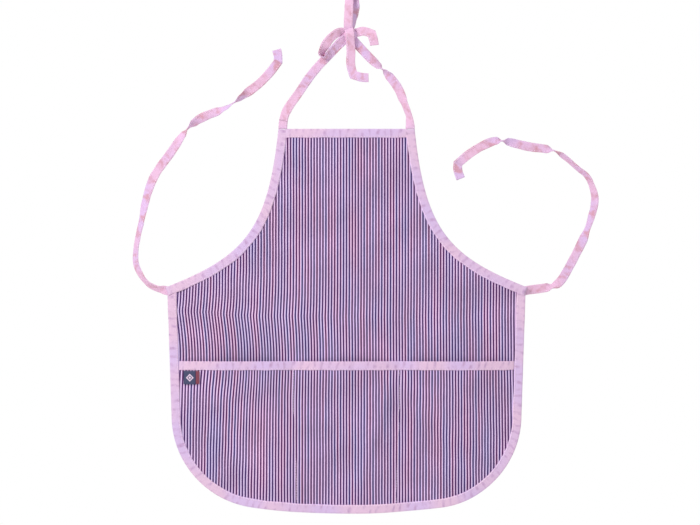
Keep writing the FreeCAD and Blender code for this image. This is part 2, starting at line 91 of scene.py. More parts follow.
LEFT_EDGE = span("armhole_binding_left", X)[0]
RIGHT_EDGE = span("armhole_binding_right", X)[1]
CENTRE = (LEFT_EDGE + RIGHT_EDGE) / 2
WAIST_HALF = (RIGHT_EDGE - LEFT_EDGE) / 2
TOP = span("bib_top_binding", Z)[1]
HEM = span("hem_binding", Z)[0]
MOUTH = span("pocket_mouth_binding", Z)[1]
MIDDLE = sum(span("main_panel", Y)) / 2
CLOTH = span("main_panel", Y)[1] - span("main_panel", Y)[0]
TIE_THICKNESS = span("waist_tie_left", Y)[1] - span("waist_tie_left", Y)[0]
TIE_DEPTH = sum(span("waist_tie_left", Y)) / 2
TAPE = span("bow_loop", Y)[1] - span("bow_loop", Y)[0]
KNOT = (np.array(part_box("bow_knot")[0]) + np.array(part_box("bow_knot")[1])) / 2
FRONT = np.array((0.0, -1.0, 0.0))      # out of the wall


def depth_of(node):
    """Middle of a CAD node, measured out of the wall."""
    return sum(span(node, Y)) / 2


# ------------------------------------------------------------------ what a user may change

def to_linear(hex_colour):
    """An sRGB hex colour as the linear RGBA that Blender's sockets hold."""
    parts = [int(hex_colour[i:i + 2], 16) / 255 for i in (1, 3, 5)]
    return tuple(c / 12.92 if c <= 0.04045 else ((c + 0.055) / 1.055) ** 2.4 for c in parts) + (1.0,)


def length(name, description, default, high=2.0):
    """A size in metres that a user may change."""
    return bpy.props.FloatProperty(name=name, description=description, default=default,
                                   min=0.0, max=high, unit="LENGTH", precision=4)


def colour(name, description, hex_colour):
    """A colour that a user may change."""
    return bpy.props.FloatVectorProperty(name=name, description=description, size=4,
                                         subtype="COLOR", min=0, max=1, default=to_linear(hex_colour))


class ApronSizes(bpy.types.PropertyGroup):
    bib_half: length("Bib Half Width", "Half of the bib's top edge", 92 * MM)
    armhole_drop: length("Armhole Drop", "Bib top down to the waist corner", 213 * MM)
    armhole_top_out: length("Armhole Top Out", "Upper handle of the armhole curve, outwards", 14 * MM)
    armhole_top_down: length("Armhole Top Down", "Upper handle of the armhole curve, downwards", 137 * MM)
    armhole_end_in: length("Armhole End In", "Lower handle of the armhole curve, inwards", 104 * MM)
    armhole_end_up: length("Armhole End Up", "Lower handle of the armhole curve, upwards", 41 * MM)
    skirt_half: length("Skirt Half Width", "Half the width where the rounded corners begin", 236 * MM)
    skirt_corner: length("Skirt Corner", "Radius of the skirt's lower corners", 125 * MM)
    hem_radius: length("Hem Radius", "Radius of the gently curved hem", 1000 * MM)
    divider: length("Pocket Divider", "Divider seam from the apron's middle", 72 * MM)
    pocket_flat: length("Pocket Flat", "Hem up to where the pocket begins to gape", 44 * MM)
    gape: length("Pocket Gape", "How far a pocket compartment's mouth stands forward", 7.5 * MM)
    tape_leg: length("Tape Leg", "Thickness of one folded leg of the binding tape", 0.7 * MM)
    fold_depth: length("Fold Depth", "Depth of the skirt's soft hanging folds", 3.2 * MM)
    crease_depth: length("Crease Depth", "Depth of the creases from storage", 1.3 * MM)
    stripe_pitch: length("Stripe Pitch", "One dark and one pale stripe", 3.97 * MM)
    stitch_length: length("Stitch Length", "One machine stitch", 2.5 * MM)
    stitch_gap: length("Stitch Gap", "Between two stitches", 0.9 * MM)
    thread: length("Thread", "Diameter of the sewing thread", 0.8 * MM)
    camera_distance: length("Camera Distance", "Camera to the cloth", 2.4, high=10.0)
    view_width: length("View Width", "Width of the view at the cloth", 0.945)


class ApronColours(bpy.types.PropertyGroup):
    plum: colour("Plum Stripe", "Dark stripe where it leans to red", "#56265b")
    navy: colour("Navy Stripe", "Dark stripe where it leans to blue", "#433068")
    pale_pink: colour("Pale Pink Stripe", "Pale stripe where it leans to pink", "#e9c2e6")
    pale_blue: colour("Pale Blue Stripe", "Pale stripe where it leans to blue", "#d4c4ee")
    tape_pink: colour("Tape Pink", "Binding tape where it leans to pink", "#dfbad8")
    tape_lilac: colour("Tape Lilac", "Binding tape where it leans to lilac", "#d3b5e2")
    # Rose of the binding tape's few worn patches, and also the painted shade in its puckers.
    tape_rose_and_pucker_shade: colour("Tape Rose", "Binding tape in its puckers", "#bd93c2")
    tie_pink: colour("Tie Pink", "Tie tape", "#e6bbd8")
    tie_lilac: colour("Tie Lilac", "Lilac stretches of the tie tape", "#dabae4")
    # Rose of the tie tape's worn patches, and also the painted shade in its puckers.
    tie_rose_and_pucker_shade: colour("Tie Rose", "Rosy worn patches of the tie tape", "#d29cb0")
    thread: colour("Thread", "Sewing thread", "#faeafa")
    label: colour("Label", "Woven label's ground", "#333a5e")
    motif: colour("Motif", "Woven label's pattern", "#e8cfe6")
    # A dark red strip along the label's right side.
    label_edge: colour("Label Edge", "Folded edge of the label", "#7a2f46")
    floor: colour("Floor", "Studio floor", "#efedec")


# ------------------------------------------------------------------ materials

OBJECT_PLACE = 3        # the Texture Coordinate node's output that holds the piece's own frame
SHARE, LOW, HIGH, BLEND = 0, 6, 7, 2        # a Mix node's inputs for two colours, and its output
DARK_SHARE = 0.555      # of a stripe's pitch
STRIPE_BLUR = 0.03      # softness of a stripe's edge, in pitches
FINISHES = {}           # materials made so far, by their short names


def add_node(tree, kind, inputs=(), result=0, **settings):
    """Adds a node with its settings and its inputs, in order or by name; gives one output."""
    made = tree.nodes.new("ShaderNode" + kind)
    for name, value in settings.items():
        setattr(made, name, value)
    for name, value in dict(inputs if isinstance(inputs, dict) else enumerate(inputs)).items():
        if isinstance(value, bpy.types.NodeSocket):
            tree.links.new(value, made.inputs[name])
        else:
            made.inputs[name].default_value = value
    return made.outputs[result]


def new_material(name, roughness, gloss=0.5, sheen=0.0, metallic=0.0):
    """A named material, the way to add its nodes, and its shader with the constants set on it."""
    material = bpy.data.materials.new(name)
    material.use_nodes = True
    shader = material.node_tree.nodes["Principled BSDF"]
    for socket, value in (("Roughness", roughness), ("Metallic", metallic),
                          ("Specular IOR Level", 0.5 if metallic else gloss),
                          ("Sheen Weight", sheen), ("Sheen Roughness", 0.4)):
        shader.inputs[socket].default_value = value
    return material, partial(add_node, material.node_tree), shader


def dress(shader, add, tint, height, strength, roughness=None):
    """Joins a pattern's colour, its height in metres and, if it varies, its roughness."""
    normal = add("Bump", {"Strength": strength, "Distance": 1.0, "Height": height})
    for socket, output in (("Base Color", tint), ("Normal", normal), ("Roughness", roughness)):
        if output:
            shader.id_data.links.new(output, shader.inputs[socket])


def striped_cotton(sizes, colours):
    """Plain-woven cotton with woven stripes: quite matt, with a faint bloom of loose fibre."""
    material, add, shader = new_material("striped_cotton_plain_weave", 0.86, gloss=0.12, sheen=0.03)
    place = add("UVMap", uv_map=FLAT_MAP)
    across, along = (add("SeparateXYZ", (place,), result=i) for i in (0, 1))
    stripe = add("Math", (across, sizes.stripe_pitch), operation="DIVIDE")
    off_centre = add("Math", (stripe, 0.5), operation="PINGPONG")
    pale = add("MapRange", {"Value": off_centre, "From Min": DARK_SHARE / 2 - STRIPE_BLUR,
                            "From Max": DARK_SHARE / 2 + STRIPE_BLUR}, interpolation_type="SMOOTHSTEP")

    # Each stripe's yarn took the dye a little differently, and drifts slowly along its length.
    number = add("Math", (stripe,), operation="ROUND")
    lot = add("CombineXYZ", (add("Math", (number, 0.71), operation="MULTIPLY"),
                             add("Math", (along, 7.0), operation="MULTIPLY")))
    drift = add("TexNoise", {"Vector": lot, "Scale": 1.0, "Detail": 1.0})
    lean = add("MapRange", {"Value": drift, "From Min": 0.36, "From Max": 0.64})
    dark = add("Mix", {SHARE: lean, LOW: tuple(colours.navy), HIGH: tuple(colours.plum)}, BLEND,
               data_type="RGBA")
    light = add("Mix", {SHARE: lean, LOW: tuple(colours.pale_blue), HIGH: tuple(colours.pale_pink)}, BLEND,
                data_type="RGBA")
    both = add("Mix", {SHARE: pale, LOW: dark, HIGH: light}, BLEND, data_type="RGBA")

    # Slubs: single yarns a little thicker and darker than their neighbours; and washed patches.
    threads = add("VectorMath", (place, (1 / (0.7 * MM), 1 / (10 * MM), 1)), operation="MULTIPLY")
    slub = add("TexNoise", {"Vector": threads, "Scale": 1.0, "Detail": 2.0})
    washed = add("TexNoise", {"Vector": place, "Scale": 1 / (45 * MM), "Detail": 3.0})
    uneven = add("Math", (add("Math", (slub, 0.5), operation="MULTIPLY"), washed), operation="ADD")
    tone = add("MapRange", {"Value": uneven, "From Min": 0.5, "From Max": 1.0,
                            "To Min": 0.86, "To Max": 1.1})
    tint = add("HueSaturation", {"Color": both, "Value": tone})

    # Real threads lie 0.4 mm apart; drawn at 0.9 mm, the finest that still shows as a texture.
    turn = 2 * math.pi / (0.9 * MM)
    warp, weft = (add("Math", (add("Math", (way, turn), operation="MULTIPLY"),), operation="SINE")
                  for way in (across, along))
    weave = add("Math", (warp, weft), operation="MULTIPLY")
    rumple = add("TexNoise", {"Vector": place, "Scale": 1 / (14 * MM), "Detail": 3.0})
    height = add("Math", (weave, 0.06 * MM, add("Math", (rumple, 1.0 * MM), operation="MULTIPLY")),
                 operation="MULTIPLY_ADD")
    dress(shader, add, tint, height, 0.5)
    return material


def folded_tape(name, pink, lilac, rose, drift_size, rosy, mark_gap, pucker_shade_depth, rim=None):
    """Pressed cotton bias tape: matt, drifting in colour, puckered where the stitches draw it in, with
    painted shade in the puckers.

    rosy is how much of it is worn rosy; rim is where the raised inner edge begins, which is painted paler
    as a highlight."""
    material, add, shader = new_material(name, 0.84, gloss=0.15, sheen=0.05)
    place = add("UVMap", uv_map=FLAT_MAP)
    across, along = (add("SeparateXYZ", (place,), result=i) for i in (0, 1))
    drift = add("TexNoise", {"Vector": place, "Scale": 1 / drift_size, "Detail": 1.0})
    lean = add("MapRange", {"Value": drift, "From Min": 0.4, "From Max": 0.62},
               interpolation_type="SMOOTHSTEP")
    body = add("Mix", {SHARE: lean, LOW: pink, HIGH: lilac}, BLEND, data_type="RGBA")
    blotch = add("TexNoise", {"Vector": place, "Scale": 1 / (17 * MM), "Detail": 2.0})
    patches = add("MapRange", {"Value": blotch, "From Min": 0.66 - rosy, "From Max": 0.84 - rosy},
                  interpolation_type="SMOOTHSTEP")
    worn = add("Mix", {SHARE: patches, LOW: body, HIGH: rose}, BLEND, data_type="RGBA")

    # Pucker marks: short shadows across the tape at uneven steps, deepest near one edge.
    crowding = add("TexNoise", {"Vector": place, "Scale": 1 / (30 * MM)})
    shifted = add("Math", (crowding, 16 * MM, along), operation="MULTIPLY_ADD")
    slant = add("Math", (across, 0.18, shifted), operation="MULTIPLY_ADD")
    wave = add("Math", (add("Math", (slant, 2 * math.pi / mark_gap), operation="MULTIPLY"),),
               operation="SINE")
    marks = add("MapRange", {"Value": wave, "From Min": -0.1, "From Max": 1.0},
                interpolation_type="SMOOTHSTEP")
    strength = add("TexNoise", {"Vector": place, "Scale": 1 / (9 * MM)})
    depth = add("MapRange", {"Value": strength, "From Min": 0.42, "From Max": 0.7, "To Max": pucker_shade_depth})
    shadow = add("Math", (marks, depth), operation="MULTIPLY")
    # Painted shade: the tape is mixed toward its rose in the pucker marks.
    marked = add("Mix", {SHARE: shadow, LOW: worn, HIGH: rose}, BLEND, data_type="RGBA")
    # Painted highlight: from rim to the inner edge the raised tape is painted up to 16% brighter and a
    # little less saturated.
    if rim:
        away = add("Math", (across,), operation="ABSOLUTE")
        edge = add("MapRange", {"Value": away, "From Min": rim, "From Max": rim + 0.7 * MM,
                                "To Min": 1.0, "To Max": 1.16})
        marked = add("HueSaturation", {"Color": marked, "Value": edge, "Saturation": 0.9})
    threads = add("VectorMath", (place, (1 / (0.8 * MM), 1 / (2.4 * MM), 1)), operation="MULTIPLY")
    grain = add("TexNoise", {"Vector": threads, "Scale": 1.0, "Detail": 2.0})
    tone = add("MapRange", {"Value": grain, "From Min": 0.3, "From Max": 0.7, "To Min": 0.93,
                            "To Max": 1.05})
    tint = add("HueSaturation", {"Color": marked, "Value": tone})

    # Bias tape is cut across the weave, so its threads run at 45 degrees to the edge. Real ones
    # lie 0.3 mm apart; drawn at 1.2 mm, the finest that still shows as a texture.
    turn = 2 * math.pi / (1.2 * MM)
    one_way, other_way = (
        add("Math", (add("Math", (add("Math", (across, along), operation=way), turn),
                         operation="MULTIPLY"),), operation="SINE") for way in ("ADD", "SUBTRACT"))
    weave = add("Math", (one_way, other_way), operation="MULTIPLY")
    height = add("Math", (weave, 0.05 * MM, add("Math", (wave, 0.14 * MM), operation="MULTIPLY")),
                 operation="MULTIPLY_ADD")
    dress(shader, add, tint, height, 0.5)
    return material


def sewing_thread(colours):
    """Spun polyester thread: smoother than the cotton, so it catches a soft highlight."""
    material, add, shader = new_material("polyester_sewing_thread", 0.5, sheen=0.15)
    place = add("TexCoord", result=OBJECT_PLACE)
    faded = add("TexNoise", {"Vector": place, "Scale": 1 / (6 * MM)})
    tint = add("Mix", {SHARE: faded, LOW: tuple(colours.thread), HIGH: tuple(colours.tape_pink)}, BLEND,
               data_type="RGBA")
    twist = add("TexNoise", {"Vector": place, "Scale": 1 / (0.25 * MM)})
    height = add("Math", (twist, 0.1 * MM), operation="MULTIPLY")
    dress(shader, add, tint, height, 0.5)
    return material


def satin_rib(add):
    """Upright ribs of the label's weave, 0.7 mm apart: from -1 to 1."""
    along = add("SeparateXYZ", (add("UVMap", uv_map=FLAT_MAP),), result=1)
    turned = add("Math", (along, 2 * math.pi / (0.7 * MM)), operation="MULTIPLY")
    return add("Math", (turned,), operation="SINE")


def label_damask(colours):
    """Woven satin label: fine ribs with a slight gloss and painted light and shade along them, and a
    lozenge woven in pale yarn.
    """
    material, add, shader = new_material("label_woven_satin", 0.55, sheen=0.05)
    place = add("UVMap", uv_map=FLAT_MAP)
    sides = [add("Math", (add("SeparateXYZ", (place,), result=i),), operation="ABSOLUTE") for i in (0, 1)]
    ring = add("Math", sides, operation="ADD")
    outline = add("Math", (ring, 4.3 * MM, 0.9 * MM), operation="COMPARE")
    middle = add("Math", (ring, 1.8 * MM), operation="LESS_THAN")
    motif = add("Math", (outline, middle), operation="MAXIMUM")
    rib_relief_and_shade = satin_rib(add)
    ground = add("Mix", {SHARE: motif, LOW: tuple(colours.label), HIGH: tuple(colours.motif)}, BLEND,
                 data_type="RGBA")
    # Painted light and shade: each rib's crest is painted up to 6% lighter and its hollow as much darker.
    tint = add("HueSaturation", {"Color": ground, "Value": add("Math", (rib_relief_and_shade, 0.06, 1.0),
                                                               operation="MULTIPLY_ADD")})
    dress(shader, add, tint, add("Math", (rib_relief_and_shade, 0.06 * MM), operation="MULTIPLY"), 0.6)
    return material


def label_dark_strip(colours):
    """A dark red strip along the label's right side, in the same satin."""
    material, add, shader = new_material("label_dark_strip_satin", 0.55, sheen=0.05)
    mottle = add("TexNoise", {"Vector": add("UVMap", uv_map=FLAT_MAP), "Scale": 1 / (3 * MM)})
    tone = add("Math", (mottle, 0.5, 0.75), operation="MULTIPLY_ADD")
    tint = add("HueSaturation", {"Color": tuple(colours.label_edge), "Value": tone})
    dress(shader, add, tint, add("Math", (satin_rib(add), 0.06 * MM), operation="MULTIPLY"), 0.6)
    return material


def brushed_metal(name, hex_colour, roughness, grit, stretch):
    """Brushed and plated metal: long fine scratches spread the highlight along one way."""
    material, add, shader = new_material(name, roughness, metallic=1.0)
    place = add("TexCoord", result=OBJECT_PLACE)
    brushed = add("VectorMath", (place, tuple(1 / (grit * s) for s in stretch)), operation="MULTIPLY")
    scratches = add("TexNoise", {"Vector": brushed, "Scale": 1.0, "Detail": 3.0})
    smudge = add("TexNoise", {"Vector": place, "Scale": 1 / (12 * MM)})
    tone = add("Math", (smudge, 0.16, 0.9), operation="MULTIPLY_ADD")
    tint = add("HueSaturation", {"Color": to_linear(hex_colour), "Value": tone})
    rough = add("MapRange", {"Value": scratches, "To Min": roughness - 0.07, "To Max": roughness + 0.1})
    dress(shader, add, tint, add("Math", (scratches, 0.03 * MM), operation="MULTIPLY"), 0.6, rough)
    return material


def matt_paper(colours):
    """Seamless paper roll: even and matt, with the faint tooth of its pulp."""
    material, add, shader = new_material("studio_paper", 0.9, gloss=0.2)
    place = add("TexCoord", result=OBJECT_PLACE)
    cloudy = add("TexNoise", {"Vector": place, "Scale": 2.5})
    tone = add("Math", (cloudy, 0.03, 0.985), operation="MULTIPLY_ADD")
    tint = add("HueSaturation", {"Color": tuple(colours.floor), "Value": tone})
    tooth = add("TexNoise", {"Vector": place, "Scale": 1 / (1.5 * MM)})
    dress(shader, add, tint, add("Math", (tooth, 0.05 * MM), operation="MULTIPLY"), 0.3)
    return material


def finish_named(name):
    """The material of that name, made the first time a piece asks for it."""
    colours = bpy.context.scene.apron_colours
    tapes = [tuple(shade) for shade in (colours.tape_pink, colours.tape_lilac, colours.tape_rose_and_pucker_shade)]
    ties = [tuple(shade) for shade in (colours.tie_pink, colours.tie_lilac, colours.tie_rose_and_pucker_shade)]
    makers = {
        "cotton": lambda: striped_cotton(bpy.context.scene.apron_sizes, colours),
        "binding": lambda: folded_tape("binding_cotton_bias_tape", *tapes, 80 * MM, 0.0, 10 * MM, 0.9,
                                       rim=TAPE - 1.4 * MM),
        "tie": lambda: folded_tape("tie_cotton_bias_tape", *ties, 90 * MM, 0.17, 19 * MM, 0.7),
        "thread": lambda: sewing_thread(colours),
        "label": lambda: label_damask(colours),
        "label_edge": lambda: label_dark_strip(colours),
        "nickel": lambda: brushed_metal("satin_nickel_plate", "#c9c5bd", 0.32, 0.6 * MM, (12, 1, 1)),
        "steel": lambda: brushed_metal("zinc_plated_steel", "#b9bcc0", 0.28, 0.4 * MM, (1, 1, 6)),
        "paper": lambda: matt_paper(colours),
    }
    if name not in FINISHES:
        FINISHES[name] = makers[name]()
    return FINISHES[name]


# ------------------------------------------------------------------ mesh helpers

def mesh_object(name, points, faces, flat=None, finish="cotton"):
    """A smooth mesh piece with outward normals and, where given, its flat coordinates per point."""
    mesh = bpy.data.meshes.new(name)
    mesh.from_pydata([tuple(p) for p in points], [], [tuple(f) for f in faces])
    if flat is not None:
        layer = mesh.uv_layers.new(name=FLAT_MAP)
        corners = np.empty(len(mesh.loops), dtype=np.int64)
        mesh.loops.foreach_get("vertex_index", corners)
        layer.uv.foreach_set("vector", np.asarray(flat, dtype=np.float32)[corners].ravel())
    shell = bmesh.new()
    shell.from_mesh(mesh)
    bmesh.ops.recalc_face_normals(shell, faces=shell.faces)
    shell.to_mesh(mesh)
    shell.free()
    mesh.shade_smooth()
    made = bpy.data.objects.new(name, mesh)
    bpy.context.scene.collection.objects.link(made)
    mesh.materials.append(finish_named(finish))
    return made


def put_on(piece, body, slot, *nodes):
    """Rides a piece on a body, in place of CAD nodes; slot is not used."""
    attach(piece, body)
    if nodes:
        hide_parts(*nodes)


def tube_faces(count, around, first=0, closed=False):
    """Faces of a tube of rings, whose points count up from first: capped, or closed into a hoop."""
    faces = []
    for i in range(count if closed else count - 1):
        ring, following = first + i * around, first + (i + 1) % count * around
        for j in range(around):
            k = (j + 1) % around
            faces.append((ring + j, ring + k, following + k, following + j))
    if not closed:
        faces += [range(start, start + around) for start in (first, first + (count - 1) * around)]
    return faces


def swept(name, rings, flat, finish, closed=False):
    """A tube of rings; flat is its flat coordinates, alike in shape."""
    faces = tube_faces(*rings.shape[:2], closed=closed)
    return mesh_object(name, rings.reshape(-1, 3), faces, flat.reshape(-1, 2), finish)


def unit(vectors):
    """Vectors of the same directions, one metre long."""
    return vectors / np.linalg.norm(vectors, axis=-1, keepdims=True)


def arc_lengths(line):
    """Length of a line up to each of its points."""
    steps = np.linalg.norm(np.diff(line, axis=0), axis=1)
    return np.concatenate([[0.0], np.cumsum(steps)])


def at_lengths(line, along, wanted):
    """Points at the wanted lengths along a line."""
    return np.stack([np.interp(wanted, along, line[:, i]) for i in range(line.shape[1])], axis=-1)


def evenly(line, spacing):
    """A line as points an even step of about spacing apart."""
    along = arc_lengths(line)
    count = max(2, int(round(along[-1] / spacing)) + 1)
    return at_lengths(line, along, np.linspace(0, along[-1], count))


def smooth_step(value, low, high):
    """0 below low, 1 above high, and eased between."""
    share = np.clip((value - low) / (high - low), 0, 1)
    return share * share * (3 - 2 * share)


class Ripple:
    """Smooth uneven waves from -1 to 1 along a length, the same each run."""

    def __init__(self, seed, wavelength, parts=5):
        draw = random.Random(seed)
        self.waves = [(wavelength * draw.uniform(0.6, 1.9), draw.uniform(0, 2 * math.pi))
                      for _ in range(parts)]

    def __call__(self, value):
        total = sum(np.sin(2 * math.pi * value / w + p) for w, p in self.waves)
        return total / math.sqrt(len(self.waves)) / 1.6


# ------------------------------------------------------------------ the apron's pattern and drape

EDGE_STEP = 2.5 * MM


def apron_edges(sizes):
    """The apron's edge seen from the front, as (x, z) from its centre line, in clockwise order."""
    bib, waist, skirt, corner, hem = (sizes.bib_half, WAIST_HALF, sizes.skirt_half,
                                      sizes.skirt_corner, sizes.hem_radius)
    waist_z = TOP - sizes.armhole_drop
    t = np.linspace(0, 1, 120)[:, None]
    poles = np.array((
        (bib, TOP), (bib + sizes.armhole_top_out, TOP - sizes.armhole_top_down),
        (waist - sizes.armhole_end_in, waist_z + sizes.armhole_end_up), (waist, waist_z)))
    armhole = ((1 - t) ** 3 * poles[0] + 3 * t * (1 - t) ** 2 * poles[1]
               + 3 * t ** 2 * (1 - t) * poles[2] + t ** 3 * poles[3])

    hem_centre, inner = HEM + hem, skirt - corner
    corner_z = hem_centre - math.sqrt((hem - corner) ** 2 - inner ** 2)
    turn = math.atan2(hem_centre - corner_z, inner)       # where the corner meets the hem's arc
    bend = -np.linspace(0, turn, 60)
    rounding = np.stack([inner + corner * np.cos(bend), corner_z + corner * np.sin(bend)], axis=-1)
    sweep = -np.linspace(turn, math.pi / 2, 60)[1:]
    bottom = np.stack([hem * np.cos(sweep), hem_centre + hem * np.sin(sweep)], axis=-1)
    right = np.concatenate([[(waist, waist_z)], rounding, bottom])
    mirror = np.array((-1.0, 1.0))
    whole = np.concatenate([right, (right * mirror)[::-1][1:]])
    return {
        "bib_top": evenly(np.array(((-bib, TOP), (bib, TOP))), EDGE_STEP),
        "armhole_right": evenly(armhole, EDGE_STEP),
        "hem": evenly(whole, EDGE_STEP),
        "armhole_left": evenly((armhole * mirror)[::-1], EDGE_STEP),
    }


def inward(edge):
    """Directions into the cloth from a clockwise edge."""
    along = unit(np.gradient(edge, axis=0))
    return np.stack([along[:, 1], -along[:, 0]], axis=-1)


# Soft hanging folds of the skirt: (middle from the centre line, half width, forward share).
SKIRT_FOLDS = (
    (-208 * MM, 30 * MM, -0.5), (-150 * MM, 38 * MM, -0.8), (-92 * MM, 34 * MM, 0.55),
    (-30 * MM, 42 * MM, -0.45), (36 * MM, 30 * MM, 0.7), (88 * MM, 40 * MM, -0.6),
    (148 * MM, 34 * MM, 0.6), (205 * MM, 36 * MM, -0.9),
)
# Diagonal pulls from the waist corners and the bib: (x, z, dx, dz, half width, depth share).
PULLS = (
    (-190 * MM, -470 * MM, 0.93, -0.37, 13 * MM, 0.9), (-120 * MM, -505 * MM, 0.8, -0.6, 16 * MM, -0.6),
    (185 * MM, -462 * MM, 0.95, 0.31, 12 * MM, -0.8), (120 * MM, -500 * MM, 0.7, 0.71, 18 * MM, 0.6),
    (-58 * MM, -300 * MM, 0.25, -0.97, 20 * MM, 0.5), (52 * MM, -340 * MM, 0.2, 0.98, 24 * MM, -0.5),
    (34 * MM, -640 * MM, 0.3, 0.95, 8 * MM, 2.6), (-150 * MM, -610 * MM, 0.34, 0.94, 11 * MM, -1.6),
    (112 * MM, -630 * MM, 0.22, 0.97, 10 * MM, -1.3), (-60 * MM, -650 * MM, 0.12, 0.99, 11 * MM, 1.0),
)
PULL_REACH = 75 * MM
FORWARD_SHARE, CREASE_ROOM = 0.9, 0.3    # the cloth gives way forwards only, clear of the ties behind it
STORAGE_CREASE = -468 * MM      # height of the crease from the apron's folding, mid-width
CREASE_TILT = -0.031            # its fall from left to right
CENTRE_CREASE = 11 * MM         # upright crease of the skirt, from the centre line
RUMPLE_X, RUMPLE_Z = Ripple(3, 46 * MM), Ripple(8, 60 * MM)


def crease_height(x):
    """Height of the storage crease across the apron; it rises near the left edge."""
    return STORAGE_CREASE + CREASE_TILT * 0.2 * x + 7 * MM * smooth_step(-x, 110 * MM, 240 * MM)


def drape(x, z, sizes):
    """How far the hanging cloth stands forward of its mean plane."""
    grown = smooth_step(-z, -TOP + 150 * MM, -HEM + 20 * MM)
    folds = sum(share * np.exp(-((x - middle) / half) ** 2) for middle, half, share in SKIRT_FOLDS)
    total = sizes.fold_depth * grown * (folds + FORWARD_SHARE) + CREASE_ROOM * sizes.crease_depth
    for px, pz, dx, dz, half, share in PULLS:
        along = (x - px) * dx + (z - pz) * dz
        off = (x - px) * dz - (z - pz) * dx
        ridge = np.exp(-(off / half) ** 2 - (along / PULL_REACH) ** 2)
        total = total + share * sizes.crease_depth * ridge
    below = z - crease_height(x)
    strength = 0.55 + 0.45 * smooth_step(-x, -150 * MM, 60 * MM)
    total = total + strength * sizes.crease_depth * np.exp(-np.abs(below) / (7 * MM))
    total = total - 0.5 * sizes.crease_depth * strength * np.exp(-((below + 22 * MM) / (14 * MM)) ** 2)
    middle = x - CENTRE_CREASE * (0.6 + 0.4 * smooth_step(z, HEM, MOUTH))
    upright = smooth_step(-z, -STORAGE_CREASE, -STORAGE_CREASE + 60 * MM)
    total = total - 1.4 * sizes.crease_depth * upright * np.exp(-np.abs(middle) / (4 * MM))
    bib = 1 - smooth_step(-z, -TOP, -TOP + 120 * MM)
    total = total + 1.6 * MM * bib * (1 - (x / sizes.bib_half) ** 2)
    waves = RUMPLE_X(x + 0.35 * z) * RUMPLE_Z(z - 0.2 * x)
    return total + 0.45 * MM * waves


def wander(x, z):
    """How far the stripes lean sideways: they kink at the storage crease and lean in the pocket."""
    left = smooth_step(-x, -40 * MM, 200 * MM)
    above = z - crease_height(x)
    kink = -(0.5 + 2.6 * left) * MM * np.exp(-np.abs(above) / (26 * MM))
    lean = 2.4 * MM * left * smooth_step(-above, 0, 55 * MM) * (1 - smooth_step(-above, 60 * MM, 120 * MM))
    return kink + lean + 0.25 * MM * RUMPLE_Z(z + 0.5 * x) * left


def pocket_wander(x, z):
    """The pocket's own lean, strongest in its left compartment."""
    left = np.exp(-((x + 158 * MM) / (48 * MM)) ** 2)
    right = np.exp(-((x - 205 * MM) / (40 * MM)) ** 2)
    high = smooth_step(z, MOUTH - 110 * MM, MOUTH - 5 * MM)
    low = smooth_step(-z, -MOUTH + 70 * MM, -HEM)
    return (3.5 * left - 1.5 * right) * MM * high - 2.0 * MM * left * low + 0.2 * MM * RUMPLE_Z(z + x)


def on_cloth(x, z, out, sizes):
    """Places on or near the hanging apron: out is the distance in front of its middle layer."""
    return np.stack([CENTRE + x, MIDDLE - drape(x, z, sizes) - out, z + 0 * x], axis=-1)


POCKET_LAYER = CLOTH * 1.06      # middle of the pocket's cloth in front of the main panel's, laid flat


def pocket_out(x, z, sizes):
    """Middle of the pocket's cloth in front of the main panel's middle: three slack compartments."""
    side = sizes.skirt_half - TAPE
    seams = (-side, -sizes.divider, sizes.divider, side)
    slack = smooth_step(z, HEM + sizes.pocket_flat, MOUTH + 40 * MM) * 1.25
    swell = 0 * x
    for share, (low, high) in zip((1.0, 0.8, 0.9), zip(seams, seams[1:])):
        place = np.clip((x - low) / (high - low), 0, 1)
        swell = swell + share * np.sin(math.pi * place) ** 0.8
    return POCKET_LAYER + sizes.gape * slack * swell


# ------------------------------------------------------------------ flat cloth

GRID = 4.0 * MM


def inside(polygon, x, z):
    """Which places are inside a closed polygon."""
    found = np.zeros(x.shape, dtype=bool)
    for (ax, az), (bx, bz) in zip(polygon, np.roll(polygon, -1, axis=0)):
        if az != bz:
            crosses = (az > z) != (bz > z)
            found ^= crosses & (x < (bx - ax) * (z - az) / (bz - az) + ax)
    return found


def snapped_grid(polygon, spacing):
    """Square cells that fill a polygon, their border points moved onto it."""
    low, high = polygon.min(axis=0), polygon.max(axis=0)
    counts = np.ceil((high - low) / spacing).astype(int)
    xs, zs = (np.linspace(low[i], high[i], counts[i] + 1) for i in (0, 1))
    middles = np.meshgrid((xs[1:] + xs[:-1]) / 2, (zs[1:] + zs[:-1]) / 2, indexing="ij")
    kept = inside(polygon, *middles)
    number = -np.ones((len(xs), len(zs)), dtype=int)
    points, cells = [], []
    for i, j in np.argwhere(kept):
        corners = []
        for a, b in ((i, j), (i + 1, j), (i + 1, j + 1), (i, j + 1)):
            if number[a, b] < 0:
                number[a, b] = len(points)
                points.append((xs[a], zs[b]))
            corners.append(number[a, b])
        cells.append(corners)
    points = np.array(points)
    edges = {}
    for cell in cells:
        for a, b in zip(cell, cell[1:] + cell[:1]):
            edges[frozenset((a, b))] = None if frozenset((a, b)) in edges else (a, b)
    border = [pair for pair in edges.values() if pair]
    rim = sorted({a for pair in border for a in pair})
    starts, runs = polygon, np.roll(polygon, -1, axis=0) - polygon
    for index in rim:
        offset = points[index] - starts
        share = np.clip((offset * runs).sum(axis=1) / np.maximum((runs * runs).sum(axis=1), 1e-18), 0, 1)
        nearest = starts + runs * share[:, None]
        points[index] = nearest[np.argmin(((nearest - points[index]) ** 2).sum(axis=1))]
    return points, cells, border


